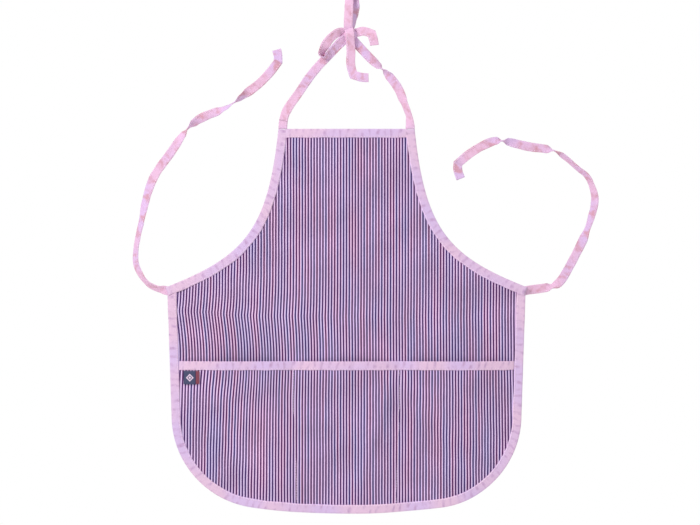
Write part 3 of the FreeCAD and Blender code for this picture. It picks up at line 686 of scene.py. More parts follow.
def cloth_piece(name, polygon, middle, lean, sizes):
    """A closed sheet over a polygon: middle gives its middle layer, lean its stripes' sideways drift."""
    points, cells, border = snapped_grid(polygon, GRID)
    x, z = points[:, 0], points[:, 1]
    layers = [on_cloth(x, z, middle(x, z) + side * CLOTH * 0.45, sizes) for side in (1, -1)]
    count = len(points)
    faces = list(cells) + [[a + count for a in cell[::-1]] for cell in cells]
    faces += [(b, a, a + count, b + count) for a, b in border]
    flat = np.stack([x - lean(x, z), z], axis=-1)
    return mesh_object(name, np.concatenate(layers), faces, np.concatenate([flat, flat]), "cotton")


def ring_polygon(sizes, inset):
    """The apron's whole edge moved inwards, as one closed polygon."""
    edges = apron_edges(sizes)
    parts = []
    for name in ("bib_top", "armhole_right", "hem", "armhole_left"):
        edge = edges[name]
        parts.append((edge + inward(edge) * inset)[2:-2])
    return np.concatenate(parts)


def clipped_below(polygon, height):
    """The part of a polygon below a height."""
    kept = []
    for a, b in zip(polygon, np.roll(polygon, -1, axis=0)):
        if a[1] <= height:
            kept.append(a)
        if (a[1] > height) != (b[1] > height):
            kept.append(a + (b - a) * (height - a[1]) / (b[1] - a[1]))
    return np.array(kept)


# ------------------------------------------------------------------ binding tape

SECTION_STEPS = 7


def binding_section(width, radius):
    """A folded tape's section as (inward, side, is outer): front leg, fold, back leg and back inside."""
    legs = np.linspace(width, radius, SECTION_STEPS)
    turn = np.radians(np.linspace(75, -75, 6))
    outer = [(d, 1.0) for d in legs]
    outer += [(radius * (1 - math.cos(a)), math.sin(a)) for a in turn]
    outer += [(d, -1.0) for d in legs[::-1]]
    inner = [(d, -1.0) for d in legs[:-1]] + [(radius * 0.8, 0.0)] + [(d, 1.0) for d in legs[:-1][::-1]]
    return outer, inner


def bound_edge(name, edge, front, middle, sizes, seed, over=None):
    """Tape folded over an edge. front is the cloth's front surface from its middle layer.

    over gives, from the length left to the waist, how far it stands out over another tape."""
    along = arc_lengths(edge)
    lap = over(along)[:, None] if over else 0.0
    into = inward(edge)
    leg = sizes.tape_leg
    outer, inner = binding_section(TAPE, leg + CLOTH / 2)
    edge_wave, pillow, pucker = (Ripple(seed + i, w) for i, w in enumerate((31 * MM, 24 * MM, 12 * MM)))
    grow = 1 + 0.028 * edge_wave(along)[:, None]
    rings = []
    for shape, is_outer in ((outer, True), (inner, False)):
        deep, side = (np.array(column)[None, :] for column in zip(*shape))
        deep = deep * np.where(deep > TAPE / 2, grow, 1.0)
        spot = edge[:, None, :] + into[:, None, :] * deep[:, :, None]
        x, z = spot[..., 0], spot[..., 1]
        surface = np.where(side > 0, front(x, z), CLOTH / 2)
        if is_outer:
            crown = np.sin(math.pi * np.clip(deep / TAPE, 0, 1))
            puff = (0.16 + 0.10 * pillow(along)[:, None]) * MM * crown
            draw = 0.17 * MM * pucker(along[:, None] + 0.35 * deep) * (0.3 + 0.7 * deep / TAPE)
            thick = surface + leg + puff + draw + lap
        else:
            thick = surface + 0.04 * MM + lap
        rings.append(on_cloth(x, z, middle(x, z) + side * thick, sizes))
    ring = np.concatenate(rings, axis=1)
    across = np.array([d * (1 if s > 0 else -1) for d, s in outer + inner])
    flat = np.stack(np.broadcast_arrays(across[None, :], along[:, None]), axis=-1)
    return swept(name, ring, flat, "binding")


WAIST_RUN_ON = 2.5 * MM       # armhole tape past the waist corner, where it becomes the waist tie


def run_on(edge, at_start):
    """An armhole's edge carried straight on past its waist corner."""
    if at_start:
        return np.concatenate([[edge[0] + unit(edge[0] - edge[1]) * WAIST_RUN_ON], edge])
    return np.concatenate([edge, [edge[-1] + unit(edge[-1] - edge[-2]) * WAIST_RUN_ON]])


def plain_front(x, z):
    """Front of a single cloth from its middle layer."""
    return CLOTH / 2 + 0 * x


def middle_layer(x, z):
    """The main panel's own middle, from itself."""
    return 0 * x


def stacked_front(x, z):
    """Front of the main panel, or of the pocket cloth on it below the pocket's mouth."""
    return CLOTH / 2 + POCKET_LAYER * smooth_step(-z, -MOUTH - 4 * MM, -MOUTH + 5 * MM)


# ------------------------------------------------------------------ stitches

STITCH_SIDES = 6
# Rings of a stitch: (share of its length, size, height out of the cloth), the last two in radii.
STITCH_RINGS = ((0.0, 0.3, -0.9), (0.14, 0.85, 0.1), (0.5, 1.0, 0.45), (0.86, 0.85, 0.1), (1.0, 0.3, -0.9))
STITCH_FLATNESS = 0.75      # a stitch's height against its width
STITCH_INSET = 1.5 * MM     # from a binding's inner edge
THREAD_OUT = 0.1 * MM       # a row's line in front of the surface that it is sewn on


def stitch_row(name, line, facing, body, sizes, nodes=(), seed=0):
    """A row of machine stitches: short capsules along a line, whose ends dip into the cloth."""
    along = arc_lengths(line)
    step = sizes.stitch_length + sizes.stitch_gap
    draw = random.Random(seed + 17)
    radius = sizes.thread / 2
    points, faces = [], []
    for number in range(int((along[-1] - sizes.stitch_gap) / step)):
        start = number * step + sizes.stitch_gap * draw.uniform(0.35, 0.65)
        places = np.array([start + share * sizes.stitch_length for share, _, _ in STITCH_RINGS])
        centres = at_lengths(line, along, places)
        ahead = unit(centres[-1] - centres[0])
        face = unit(at_lengths(facing, along, places[2:3])[0])
        side = unit(np.cross(ahead, face))
        lean = draw.uniform(-0.12, 0.12) * MM
        faces += tube_faces(len(STITCH_RINGS), STITCH_SIDES, first=len(points))
        for (share, size, lift), centre in zip(STITCH_RINGS, centres):
            middle = centre + face * lift * radius + side * lean * (share - 0.5) * 2
            for k in range(STITCH_SIDES):
                turn = 2 * math.pi * k / STITCH_SIDES
                out = math.cos(turn) * side + STITCH_FLATNESS * math.sin(turn) * face
                points.append(middle + radius * size * out)
    piece = mesh_object(name, points, faces, None, "thread")
    put_on(piece, body, "sewing_thread", *nodes)
    return piece


def stitches_on_cloth(name, x, z, out, side, sizes, nodes, seed):
    """A row of stitches over places on the hanging apron: side is 1 in front and -1 behind."""
    line = on_cloth(x, z, out, sizes)
    stitch_row(name, line, np.broadcast_to(FRONT * side, line.shape), "apron", sizes, nodes, seed)


def edge_stitches(node, edge, front, sizes, seed):
    """The front and back rows that hold a binding on, just outside its inner edge."""
    x, z = (edge + inward(edge) * (TAPE - STITCH_INSET)).T
    for side, where, surface, nodes in ((1, "", front(x, z), [node]), (-1, "_back", CLOTH / 2, [])):
        out = side * (surface + sizes.tape_leg + THREAD_OUT)
        stitches_on_cloth(f"{node}_thread{where}", x, z, out, side, sizes, nodes, seed)


# ------------------------------------------------------------------ ties, loops and tails

CURVE_STEPS = 14            # points per run of a tie's smooth line
SECTION_POINTS = 16
REACH_OF_FOLD = 1.18        # a folded corner's outer point, in half widths
NEARLY_STRAIGHT = 0.995     # cosine between a fold's two sides above which they have no corner
STITCH_SHARE = 0.70         # a tie's row of stitches from its middle, in half widths


def smooth_line(name, route):
    """Points of the smooth line that a tie follows, read from a spline on its route."""
    curve = bpy.data.curves.new(name, "CURVE")
    curve.dimensions = "3D"
    curve.resolution_u = CURVE_STEPS
    spline = curve.splines.new("NURBS")
    spline.points.add(len(route) - 1)
    for point, place in zip(spline.points, route):
        point.co = (*place, 1.0)
    spline.order_u = 3
    spline.use_endpoint_u = True
    guide = bpy.data.objects.new(name, curve)
    mesh = bpy.data.meshes.new_from_object(guide)
    line = np.array([v.co[:] for v in mesh.vertices])
    bpy.data.objects.remove(guide)
    bpy.data.curves.remove(curve)
    bpy.data.meshes.remove(mesh)
    moved = np.linalg.norm(np.diff(line, axis=0), axis=1) > 1e-6
    return line[np.concatenate([[True], moved])]


def eased(keys, places):
    """Values between keys of (place, value), eased in and out of each key."""
    spots, values = (np.array(column, dtype=float) for column in zip(*keys))
    index = np.clip(np.searchsorted(spots, places, side="right") - 1, 0, len(spots) - 2)
    share = smooth_step(places, spots[index], spots[index + 1])
    return values[index] + (values[index + 1] - values[index]) * share


def tape_rings(line, turns, folds):
    """Middle, width direction, face direction, lift and place of each ring of a tape.

    turns are (place, degrees from facing forward); folds are (place, half length, lift)."""
    along = arc_lengths(line)
    ahead = unit(np.gradient(line, along, axis=0))
    level = unit(np.cross(ahead, FRONT))
    out = np.cross(level, ahead)
    angle = np.radians(eased([(p * MM, v) for p, v in turns], along))[:, None]
    width = np.cos(angle) * level + np.sin(angle) * out
    face = np.cos(angle) * out - np.sin(angle) * level
    rings = [line, width, face, np.zeros(len(line)), along]
    for place, half, lift in folds:
        line, width, face, raised, spots = rings
        first = np.searchsorted(spots, (place - half) * MM) - 1
        last = np.searchsorted(spots, (place + half) * MM)
        before, after = unit(line[first] - line[first - 1]), unit(line[last + 1] - line[last])
        gap, closeness = line[last] - line[first], before @ after
        if closeness > NEARLY_STRAIGHT:
            corner = (line[first] + line[last]) / 2
        else:
            reach = (gap @ before - (gap @ after) * closeness) / (1 - closeness ** 2)
            corner = line[first] + before * reach
        both = width[first] + width[last]
        mitre = both / max(0.5, both @ width[first])
        out_face = unit(face[first] + face[last])
        stacked = (
            np.stack([corner, corner]), np.stack([mitre, mitre]), np.stack([out_face, out_face]),
            np.array([raised[first], raised[first] + lift * MM]),
            np.array([place - 0.3, place + 0.3]) * MM)
        tails = (line[last:], width[last:], face[last:], raised[last:] + lift * MM, spots[last:])
        rings = [np.concatenate([old[:first + 1], new, tail])
                 for old, new, tail in zip(rings, stacked, tails)]
    return rings


def tape_section():
    """A tape's soft-cornered section: places across it and through it, each from -1 to 1."""
    turn = np.linspace(0, 2 * math.pi, SECTION_POINTS, endpoint=False)
    return (np.sign(v) * np.abs(v) ** power for v, power in ((np.cos(turn), 0.45), (np.sin(turn), 0.6)))


def tape_piece(node, line, turns, folds=(), seed=0, curl=1.0, body="apron"):
    """A folded and stitched tape that stands for a node, with its two rows of stitches."""
    sizes = bpy.context.scene.apron_sizes
    middle, width, face, lift, along = tape_rings(line, turns, folds)
    half, thick = TAPE / 2, TIE_THICKNESS / 2
    cup, edge_wave, pucker = (Ripple(seed + i, w) for i, w in enumerate((55 * MM, 27 * MM, 13 * MM)))
    side, high = (row[None, :, None] for row in tape_section())
    reach = half * (1 + 0.035 * edge_wave(along))[:, None, None]
    longest = np.maximum(1.0, np.linalg.norm(width, axis=1))[:, None, None]
    held = np.minimum(1.0, REACH_OF_FOLD / longest)
    bowl = curl * (0.45 + 0.55 * cup(along))[:, None, None] * MM
    ripple = 0.20 * MM * pucker(along)[:, None, None] * (0.4 + 0.6 * np.abs(side))
    body_face, body_width = face[:, None, :], width[:, None, :]

    def spots(s, h):
        """Places on the tape: s across from -1 to 1, h from its back face to its front face."""
        return (middle[:, None, :] + body_width * held * reach * s
                + body_face * (lift[:, None, None] + h * thick + bowl * (s * s - 0.35)))

    ring = spots(side, high) + body_face * ripple
    flat = np.stack(np.broadcast_arrays(side[..., 0] * half, along[:, None]), axis=-1)
    pieces = [swept(node + "_tape", ring, flat, "tie")]
    put_on(pieces[0], body, "tie_tape", node)
    for front, where in ((1, ""), (-1, "_back")):
        holes = spots(np.full((1, 1, 1), STITCH_SHARE), np.full((1, 1, 1), 1.1 * front))[:, 0, :]
        pieces.append(stitch_row(f"{node}_tape_stitches{where}", holes, face * front, body, sizes,
                                 seed=seed + 5))
    return pieces


def tape_cord(node, line, turns, length, folds=(), far_end="object", lay="hanging", more=(), **cut):
    """A tape along its line, built by tape_piece: length, in millimetres, is not used; more, the other
    pieces on it, is not used.
    """
    pieces = tape_piece(node, line, turns, folds, **cut)


def placed(route, depth, lifts=()):
    """A route of (x, z) in millimetres as places in metres; lifts are forward steps per point."""
    forward = list(lifts) + [0.0] * (len(route) - len(lifts))
    return [(x * MM, depth - f * MM, z * MM) for (x, z), f in zip(route, forward)]


# Routes seen from the front, as (x, z) in millimetres. The waist ties begin under the armhole's
# tape, and the neck ties, loops and tails end inside the knot.
WAIST_TIE_LEFT = (
    (-243.5, -435.5), (-251.5, -432.6), (-264.5, -430.5), (-278.0, -424.0), (-289.5, -408.0),
    (-295.0, -392.5), (-291.5, -363.0), (-285.0, -336.0), (-280.0, -309.5), (-272.5, -285.0),
    (-262.5, -267.5), (-246.5, -247.0), (-231.5, -224.0), (-219.5, -208.5), (-202.0, -197.0),
    (-179.5, -189.0), (-164.0, -181.0), (-148.0, -168.5), (-127.5, -154.0), (-113.0, -139.0),
    (-102.5, -125.5), (-100.0, -116.5), (-103.0, -106.5),
)
WAIST_TIE_RIGHT = (
    (227.0, -434.8), (235.5, -432.4), (244.0, -431.5), (260.0, -429.5), (275.0, -426.5),
    (283.5, -418.5), (291.5, -404.5), (301.5, -386.0), (311.5, -366.0), (319.5, -347.0),
    (326.0, -326.5), (329.0, -309.0), (326.0, -294.0), (319.5, -278.0), (305.5, -268.0),
    (289.5, -253.0), (273.5, -242.5), (259.0, -240.5), (240.0, -238.5), (221.5, -234.0),
    (205.5, -230.0), (192.5, -229.5), (176.0, -236.5), (161.0, -245.5), (149.0, -255.0),
    (142.0, -262.5), (142.5, -272.0), (146.5, -281.5),
)
NECK_TIE_LEFT = (
    (-94.2, -214.5), (-93.8, -200.0), (-85.5, -183.5), (-73.5, -167.5), (-63.0, -151.0),
    (-52.0, -136.5), (-40.0, -123.5), (-30.5, -114.0), (-20.0, -103.0), (-11.0, -95.0),
    (-5.5, -90.0),
)
NECK_TIE_RIGHT = (
    (77.8, -214.5), (77.4, -200.5), (73.5, -188.5), (68.5, -176.0), (62.5, -160.5),
    (52.0, -146.0), (41.0, -134.5), (27.5, -123.0), (17.0, -112.0), (8.5, -103.0),
    (2.5, -96.0), (-2.0, -90.5),
)
HANGING_LOOP = (
    (-4.5, -84.0), (-6.5, -79.6), (-5.0, -56.0), (-4.3, -34.0), (-4.5, -18.0),
    (-4.5, -7.5), (4.5, -7.5), (4.5, -18.0), (4.2, -34.0), (3.5, -56.0),
    (-0.5, -79.6),
)
BOW_LOOP = (
    (-4.5, -84.5), (-11.5, -83.5), (-19.0, -84.5), (-27.0, -90.0), (-34.0, -98.0),
    (-39.5, -107.0), (-44.0, -116.0), (-37.5, -121.0), (-29.0, -111.0), (-20.5, -102.0),
    (-12.5, -93.5), (-5.0, -90.5),
)
BOW_TAIL_SHORT = (
    (6.5, -84.5), (14.0, -82.5), (23.0, -85.0), (28.5, -92.5), (29.5, -102.0),
)
BOW_TAIL_LONG = (
    (-3.1, -97.6), (-2.0, -110.5), (-3.0, -124.0), (-1.5, -136.0), (6.0, -144.0),
    (15.5, -146.0), (21.5, -145.8),
)


# ------------------------------------------------------------------ the pieces

class APRON_OT_main_panel(bpy.types.Operator):
    """Bib and skirt: one striped sheet that hangs in soft folds"""
    bl_idname = "apron.main_panel"
    bl_label = "Main Panel"

    def execute(self, context):
        sizes = context.scene.apron_sizes
        polygon = ring_polygon(sizes, sizes.tape_leg)
        panel = cloth_piece("main_panel_cloth", polygon, middle_layer, wander, sizes)
        put_on(panel, "apron", "striped_cotton", "main_panel")
        return {"FINISHED"}


class APRON_OT_pocket(bpy.types.Operator):
    """Full-width pocket in three slack compartments"""
    bl_idname = "apron.pocket"
    bl_label = "Pocket"

    def execute(self, context):
        sizes = context.scene.apron_sizes
        polygon = clipped_below(ring_polygon(sizes, sizes.tape_leg), MOUTH - sizes.tape_leg)
        pocket = cloth_piece("pocket_cloth", polygon, lambda x, z: pocket_out(x, z, sizes),
                             lambda x, z: wander(x, z) + pocket_wander(x, z), sizes)
        put_on(pocket, "apron", "striped_cotton", "pocket_panel")
        return {"FINISHED"}


def mouth_edge(sizes):
    """The pocket mouth's edge; its ends lie under the side tapes."""
    side = sizes.skirt_half - TAPE + 2 * MM
    return evenly(np.array(((-side, MOUTH), (side, MOUTH))), EDGE_STEP)


LAP = 0.8 * MM                        # how far the armhole's tape stands out over the hem's
LAP_REACH = (18 * MM, 34 * MM)        # where it comes back to the cloth, from the waist corner


class APRON_OT_bindings(bpy.types.Operator):
    """Folded tape over every edge, and along the pocket's mouth"""
    bl_idname = "apron.bindings"
    bl_label = "Bindings"

    def execute(self, context):
        sizes = context.scene.apron_sizes
        edges = apron_edges(sizes)
        # Each tape's node, edge, front surface, middle layer, seed and lap over another tape.
        for node, edge, front, middle, seed, over in (
                ("bib_top_binding", edges["bib_top"][4:-4], plain_front, middle_layer, 0, None),
                ("armhole_binding_left", run_on(edges["armhole_left"], True), plain_front, middle_layer, 11,
                 lambda along: LAP * (1 - smooth_step(along, *LAP_REACH))),
                ("armhole_binding_right", run_on(edges["armhole_right"], False), plain_front, middle_layer,
                 22, lambda along: LAP * (1 - smooth_step(along[-1] - along, *LAP_REACH))),
                ("hem_binding", edges["hem"][2:-2], stacked_front, middle_layer, 33, None),
                ("pocket_mouth_binding", mouth_edge(sizes), plain_front,
                 lambda x, z: pocket_out(x, z, sizes), 71, None)):
            tape = bound_edge(node + "_tape", edge, front, middle, sizes, seed, over)
            put_on(tape, "apron", "binding_tape", node)
        return {"FINISHED"}


class APRON_OT_stitching(bpy.types.Operator):
    """Machine stitches of the bindings and of the pocket's two divider seams"""
    bl_idname = "apron.stitching"
    bl_label = "Stitching"

    def execute(self, context):
        sizes = context.scene.apron_sizes
        edges = apron_edges(sizes)
        for seed, (place, front) in enumerate((
                ("bib_top", plain_front), ("armhole_left", plain_front),
                ("armhole_right", plain_front), ("hem", stacked_front))):
            edge_stitches(place + "_stitching", edges[place][5:-5], front, sizes, seed)

        x, z = (mouth_edge(sizes)[1:-1] - (0, TAPE - STITCH_INSET)).T
        out = pocket_out(x, z, sizes) + CLOTH / 2 + sizes.tape_leg + THREAD_OUT
        stitches_on_cloth("pocket_mouth_stitching_thread", x, z, out, 1, sizes,
                          ["pocket_mouth_stitching"], 9)
        for side, where in ((-1, "left"), (1, "right")):
            z = np.linspace(MOUTH - 1 * MM, HEM + TAPE + 1 * MM, 80)
            lean = side * 5 * MM * smooth_step(-z, -MOUTH, -HEM)
            x = side * sizes.divider + 1.2 * MM * RUMPLE_Z(z * 1.5 + side) - lean
            node = f"pocket_divider_stitching_{where}"
            out = pocket_out(x, z, sizes) + CLOTH / 2 + THREAD_OUT
            stitches_on_cloth(node + "_thread", x, z, out, 1, sizes, [node], 31)
            stitches_on_cloth(node + "_thread_back", x, z, -CLOTH / 2 - THREAD_OUT, -1, sizes, [], 31)
        return {"FINISHED"}


LABEL_WIDTH = 17 * MM         # of its satin, up to the red edge
LABEL_PLY = 0.32 * MM         # thickness of one ply


class APRON_OT_label(bpy.types.Operator):
    """Woven label, folded double under the pocket's binding, with a dark red strip along its right side"""
    bl_idname = "apron.label"
    bl_label = "Label"

    def execute(self, context):
        sizes = context.scene.apron_sizes
        left, right = (v - CENTRE for v in span("woven_label", X))
        low, high = span("woven_label", Z)
        split = left + LABEL_WIDTH
        label = self.folded("woven_label_satin", left, split, low, high, 0.0, "label", sizes)
        edge = self.folded("woven_label_edge", split - 0.3 * MM, right, low + 0.6 * MM, high, 0.25 * MM,
                           "label_edge", sizes)
        put_on(label, "label", "label_weave", "woven_label")
        put_on(edge, "label", "label_weave")
        return {"FINISHED"}

    def folded(self, name, left, right, low, high, lift, finish, sizes):
        """Two plies that hang from the top and join in a round fold at the bottom."""
        ply, apart, steps = LABEL_PLY, 0.22 * MM, 9
        rows = [(high - (high - low - apart) * t, 1.0) for t in np.linspace(0, 1, steps)]
        rows += [(low + apart * (1 - math.sin(a)), math.cos(a)) for a in np.radians((30, 60, 90, 120, 150))]
        rows += [(z, -1.0) for z, _ in rows[:steps][::-1]]
        columns = np.linspace(left, right, 9)
        centre, half_high = (left + right) / 2, (high - low) / 2
        rings, flat = [], []
        for z, side in rows:
            hung = (high - z) / (high - low)
            stand = pocket_out(columns, z, sizes) + CLOTH / 2 + (0.75 + 0.9 * hung * hung) * MM + lift
            plies = []
            for skin in (1, -1):
                out = stand + side * apart + skin * ply / 2
                plies.append(on_cloth(columns, np.full_like(columns, z), out, sizes))
            rings.append(np.concatenate([plies[0], plies[1][::-1]]))
            across = np.concatenate([columns, columns[::-1]]) - centre
            flat.append(np.stack([across, np.full_like(across, z - high + half_high)], axis=-1))
        return swept(name, np.array(rings), np.array(flat), finish)


TIE_CLEARANCE = 6.0           # millimetres that a waist tie stands behind its seam, to swing clear
AT_SEAM = (5.4, 4.4, 1.4)     # how far in front of that its first points still are


class APRON_OT_waist_ties(bpy.types.Operator):
    """The two waist ties, with the twists and folds they lie in"""
    bl_idname = "apron.waist_ties"
    bl_label = "Waist Ties"

    def execute(self, context):
        turns = ((0, 0), (9, 4), (20, 44), (38, 54), (60, 44), (95, 50), (128, 46), (158, 24), (186, 6),
                 (240, 4), (258, 40), (270, 92), (283, 150), (296, 178), (312, 184), (326, 236),
                 (340, 262), (354, 305), (370, 354), (437, 362))
        self.tie("waist_tie_left", WAIST_TIE_LEFT, turns, 436, (421, 6, -0.9), 101)

        turns = ((0, 0), (36, 6), (44, 62), (53, 14), (66, 4), (118, 8), (140, 58), (160, 44), (180, 40),
                 (205, 60), (238, 66), (256, 62), (270, 96), (282, 168), (294, 182), (322, 184),
                 (333, 215), (341, 270), (350, 338), (360, 360), (429, 360))
        self.tie("waist_tie_right", WAIST_TIE_RIGHT, turns, 428, (408, 7, 0.9), 131)
        return {"FINISHED"}

    def tie(self, node, route, turns, length, end_fold, seed):
        """One waist tie: bare at its far end, on a body of its own."""
        line = smooth_line(node, placed(route, TIE_DEPTH + TIE_CLEARANCE * MM, AT_SEAM))
        tape_cord(node, line, turns, length, (end_fold,), "bare", "loose", seed=seed, body=node)


class APRON_OT_neck_ties(bpy.types.Operator):
    """The two neck ties, from the bib's corners up to the knot"""
    bl_idname = "apron.neck_ties"
    bl_label = "Neck Ties"

    def execute(self, context):
        turns = ((0, 0), (30, 4), (70, -6), (110, 6), (149, 14))
        self.tie("neck_tie_left", NECK_TIE_LEFT, turns, 149, ((11, 1.5, 0.8),), 151)
        turns = ((0, 0), (8, 26), (20, 50), (34, 46), (46, 16), (58, 6), (76, 12), (85, 58), (91, 92),
                 (98, 142), (108, 176), (146, 186))
        self.tie("neck_tie_right", NECK_TIE_RIGHT, turns, 145, (), 161)
        return {"FINISHED"}

    def tie(self, node, route, turns, length, folds, seed):
        """One neck tie: it ends in the knot."""
        line = smooth_line(node, placed(route, depth_of("neck_tie_left"), (0.6, 0.9)))
        tape_cord(node, line, turns, length, folds, seed=seed)


KNOT_RADII = (9.6, 6.4, 7.8)              # the knot's core along X, Y and Z, in millimetres
BAND_DEPTH, BAND_HEIGHT = 7.2, 8.2        # the band round it, in millimetres from its middle
WRAP_DEPTH, WRAP_HEIGHT = 9.4, 9.8        # the long tail over that, in millimetres from its middle
BAND_FLAT_RADIUS = 7.5 * MM               # the radius that its flat coordinates are laid out at
BAND_STEPS = 40


class APRON_OT_bow(bpy.types.Operator):
    """The neck bow: knot, tall hanging loop, small loop and two tails"""
    bl_idname = "apron.bow"
    bl_label = "Bow"

    def execute(self, context):
        knot = [self.knot_core(), self.knot_band()]
        tails = self.tails()
        depth = depth_of("hanging_loop")
        lifts = (3.0, 5.0, 5.0, 3.5, 1.5, 0, 0, -1.5, -2.5, -2.0, 1.0)
        line = smooth_line("hanging_loop", placed(HANGING_LOOP, depth, lifts))
        turns = ((0, 4), (24, 8), (40, 14), (62, 72), (70, 90), (88, 90), (96, 104), (116, 140),
                 (132, 205), (144, 236), (158, 250))
        tape_cord("hanging_loop", line, turns, 150, more=knot + tails, seed=171, curl=0.3,
                  body="hanging_loop")

        depth = depth_of("bow_loop")
        lifts = (-5.5, -4.4, -1.6, 0.8, 1.5, 0.5, -0.5, -1.0, -2.0, -3.5, -4.8, -5.5)
        line = smooth_line("bow_loop", placed(BOW_LOOP, depth, lifts))
        turns = ((0, 44), (18, 20), (38, 12), (52, 46), (60, 90), (67, 126), (79, 156), (108, 164))
        tape_cord("bow_loop", line, turns, 104, lay="loose", seed=181, curl=0.4, body="bow_loop")
        return {"FINISHED"}

    def knot_core(self):
        """Tape gathered tight: a lumpy bead, longest from side to side."""
        rings, around = 14, 28
        points = []
        for i in range(rings):
            polar = math.pi * (i + 0.5) / rings
            for j in range(around):
                turn = 2 * math.pi * j / around
                gather = 1 + 0.07 * math.sin(5 * turn + 2.2 * math.cos(polar)) * math.sin(polar)
                points.append(KNOT + gather * MM * np.array((
                    KNOT_RADII[X] * math.cos(polar), KNOT_RADII[Y] * math.sin(polar) * math.cos(turn),
                    KNOT_RADII[Z] * math.sin(polar) * math.sin(turn))))
        points = np.array(points)
        core = mesh_object("bow_knot_core", points, tube_faces(rings, around), points[:, (X, Z)], "tie")
        put_on(core, "hanging_loop", "tie_tape", "bow_knot")
        return core

    def knot_band(self):
        """A band of the same tape, wound once round the middle of the core."""
        side, high = tape_section()
        rings, flat = [], []
        for turn in np.linspace(0, 2 * math.pi, BAND_STEPS, endpoint=False):
            ahead, up = -math.cos(turn), math.sin(turn)
            centre = KNOT + MM * np.array((1.4 * up, BAND_DEPTH * ahead, BAND_HEIGHT * up))
            out = unit(np.array((0.0, ahead / BAND_DEPTH, up / BAND_HEIGHT)))
            wide = 5.4 * MM * (1 + 0.06 * math.sin(3 * turn))
            across = wide * side[:, None] * np.array((1.0, 0.0, 0.0))
            rings.append(centre + across + out * (TIE_THICKNESS / 2 * high - 0.8 * MM * side ** 2)[:, None])
            flat.append([(0.0, turn * BAND_FLAT_RADIUS)] * SECTION_POINTS)
        band = swept("bow_knot_band", np.array(rings), np.array(flat), "tie", closed=True)
        put_on(band, "hanging_loop", "tie_tape")
        return band

    def tails(self):
        """The long tail wraps over the knot and hangs; the short one comes out at its side."""
        depth = depth_of("bow_tail_long")
        route = placed(BOW_TAIL_LONG, depth, (3.2, 2.0, 1.0, 0.4, 0, 0, 0))
        over_knot = [tuple(KNOT + MM * np.array((x, -WRAP_DEPTH * math.sin(a), WRAP_HEIGHT * math.cos(a))))
                     for x, a in zip((-2.6, -1.6, -0.6, 0.2), np.radians((8, 40, 72, 104)))]
        line = smooth_line("bow_tail_long", over_knot + route)
        pieces = tape_piece("bow_tail_long", line, ((0, 0), (44, 4), (92, 0)),
                            ((13, 2.0, 0.5), (68.0, 7.5, 0.9)), 191, curl=0.4, body="bow_tail_long")
        route = placed(BOW_TAIL_SHORT, depth, (-1.5, 0.5, 0.8, 0.4, 0))
        start = (route[0][0] - 7 * MM, route[0][1] + 2.5 * MM, route[0][2] - 1 * MM)
        line = smooth_line("bow_tail_short", [start] + route)
        pieces += tape_piece("bow_tail_short", line, ((0, 12), (14, 4), (42, -4)),
                             ((27.5, 5.5, 0.7),), 201, curl=0.5, body="bow_tail_short")
        return pieces


class APRON_OT_hook(bpy.types.Operator):
    """Metal finishes of the wall hook and its screws"""
    bl_idname = "apron.hook"
    bl_label = "Hook"

    def execute(self, context):
        for node, finish in (("hook_plate", "nickel"), ("hook_arm", "nickel"),
                             ("hook_screw_upper", "steel"), ("hook_screw_lower", "steel")):
            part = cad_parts[node]
            if not part.data.materials:
                part.data.materials.append(None)
            for slot in part.material_slots:
                slot.link = "OBJECT"
                slot.material = finish_named(finish)
        return {"FINISHED"}


VIEW_X, VIEW_Z = -3.5 * MM, -394.9 * MM   # the place on the cloth that the camera looks at
ROOM_LIGHT = 0.5                          # against the paper's own brightness
FLOOR_DROP, FLOOR_HALF = 0.36, 2.0        # floor below the hem, and half its width
LAMPS = (                                 # name, place, size and watts
    ("key_light", (-1.7, -1.9, 1.0), 1.1, 50.0), ("fill_light", (1.9, -2.2, -0.3), 1.8, 8.0),
    ("top_light", (0.2, -0.3, 1.7), 1.6, 10.0), ("back_light", (0.8, 2.4, 0.6), 1.8, 40.0),
)


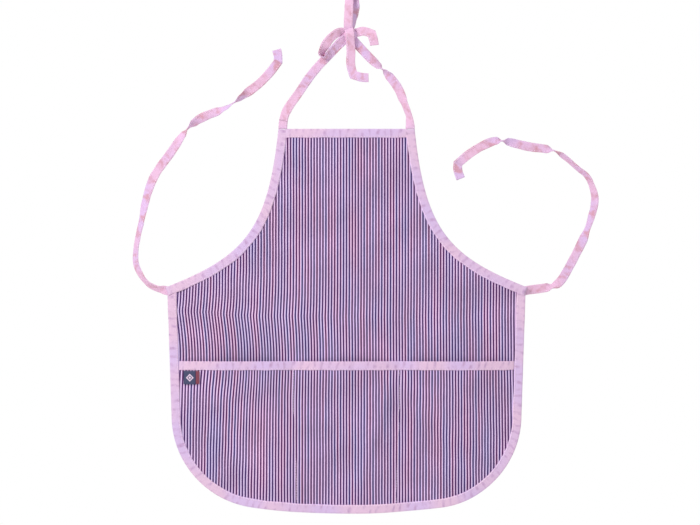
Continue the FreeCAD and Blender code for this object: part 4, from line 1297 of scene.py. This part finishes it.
class APRON_OT_stage(bpy.types.Operator):
    """Floor, soft lights and camera"""
    bl_idname = "apron.stage"
    bl_label = "Stage"

    def execute(self, context):
        sizes = context.scene.apron_sizes
        aim = Vector((VIEW_X, MIDDLE, VIEW_Z))
        floor_z = CAD_BOX[0][Z] - FLOOR_DROP
        corners = [(x * FLOOR_HALF, y * FLOOR_HALF, floor_z)
                   for x, y in ((-1, -1), (1, -1), (1, 1), (-1, 1))]
        floor = mesh_object("studio_floor", corners, [(0, 1, 2, 3)], None, "paper")

        for name, place, size, watts in LAMPS:
            lamp = bpy.data.lights.new(name, "AREA")
            lamp.shape, lamp.size, lamp.energy = "SQUARE", size, watts
            light = bpy.data.objects.new(name, lamp)
            light.location = place
            light.rotation_euler = (aim - Vector(place)).to_track_quat("-Z", "Y").to_euler()
            context.scene.collection.objects.link(light)

        world = bpy.data.worlds.new("studio")
        world.use_nodes = True
        add = partial(add_node, world.node_tree)
        background = world.node_tree.nodes["Background"]
        background.inputs["Color"].default_value = to_linear("#ffffff")
        # The room's light is soft and half as bright as the white paper that hangs far behind.
        paper = add("Math", (add("LightPath"), 1 - ROOM_LIGHT, ROOM_LIGHT), operation="MULTIPLY_ADD")
        world.node_tree.links.new(paper, background.inputs["Strength"])
        context.scene.world = world
        context.scene.view_settings.view_transform = "Standard"

        lens = bpy.data.cameras.new("camera")
        lens.sensor_width = 36.0
        lens.lens = lens.sensor_width * sizes.camera_distance / sizes.view_width
        camera = bpy.data.objects.new("camera", lens)
        camera.location = aim + Vector((0, -sizes.camera_distance, 0))
        camera.rotation_euler = (math.pi / 2, 0, 0)
        context.scene.collection.objects.link(camera)
        context.scene.camera = camera
        return {"FINISHED"}


# ------------------------------------------------------------------ add-on

STEPS = (
    APRON_OT_stage, APRON_OT_waist_ties, APRON_OT_neck_ties, APRON_OT_bow, APRON_OT_main_panel,
    APRON_OT_pocket, APRON_OT_bindings, APRON_OT_stitching, APRON_OT_label, APRON_OT_hook,
)


class APRON_PT_panel(bpy.types.Panel):
    """Lists the apron's steps, sizes and colours"""
    bl_idname = "APRON_PT_panel"
    bl_label = "Apron on a Hook"
    bl_space_type = "VIEW_3D"
    bl_region_type = "UI"
    bl_category = "Apron"

    def draw(self, context):
        for step in STEPS:
            self.layout.operator(step.bl_idname)
        for group in (context.scene.apron_sizes, context.scene.apron_colours):
            for name in group.__annotations__:
                self.layout.prop(group, name)


CLASSES = (ApronSizes, ApronColours, APRON_PT_panel) + STEPS


def register():
    for item in CLASSES:
        bpy.utils.register_class(item)
    bpy.types.Scene.apron_sizes = bpy.props.PointerProperty(type=ApronSizes)
    bpy.types.Scene.apron_colours = bpy.props.PointerProperty(type=ApronColours)


def unregister():
    del bpy.types.Scene.apron_colours
    del bpy.types.Scene.apron_sizes
    for item in reversed(CLASSES):
        bpy.utils.unregister_class(item)


def main():
    register()
    for step in STEPS:
        group, name = step.bl_idname.split(".")
        getattr(getattr(bpy.ops, group), name)()


if __name__ == "__main__":
    main()
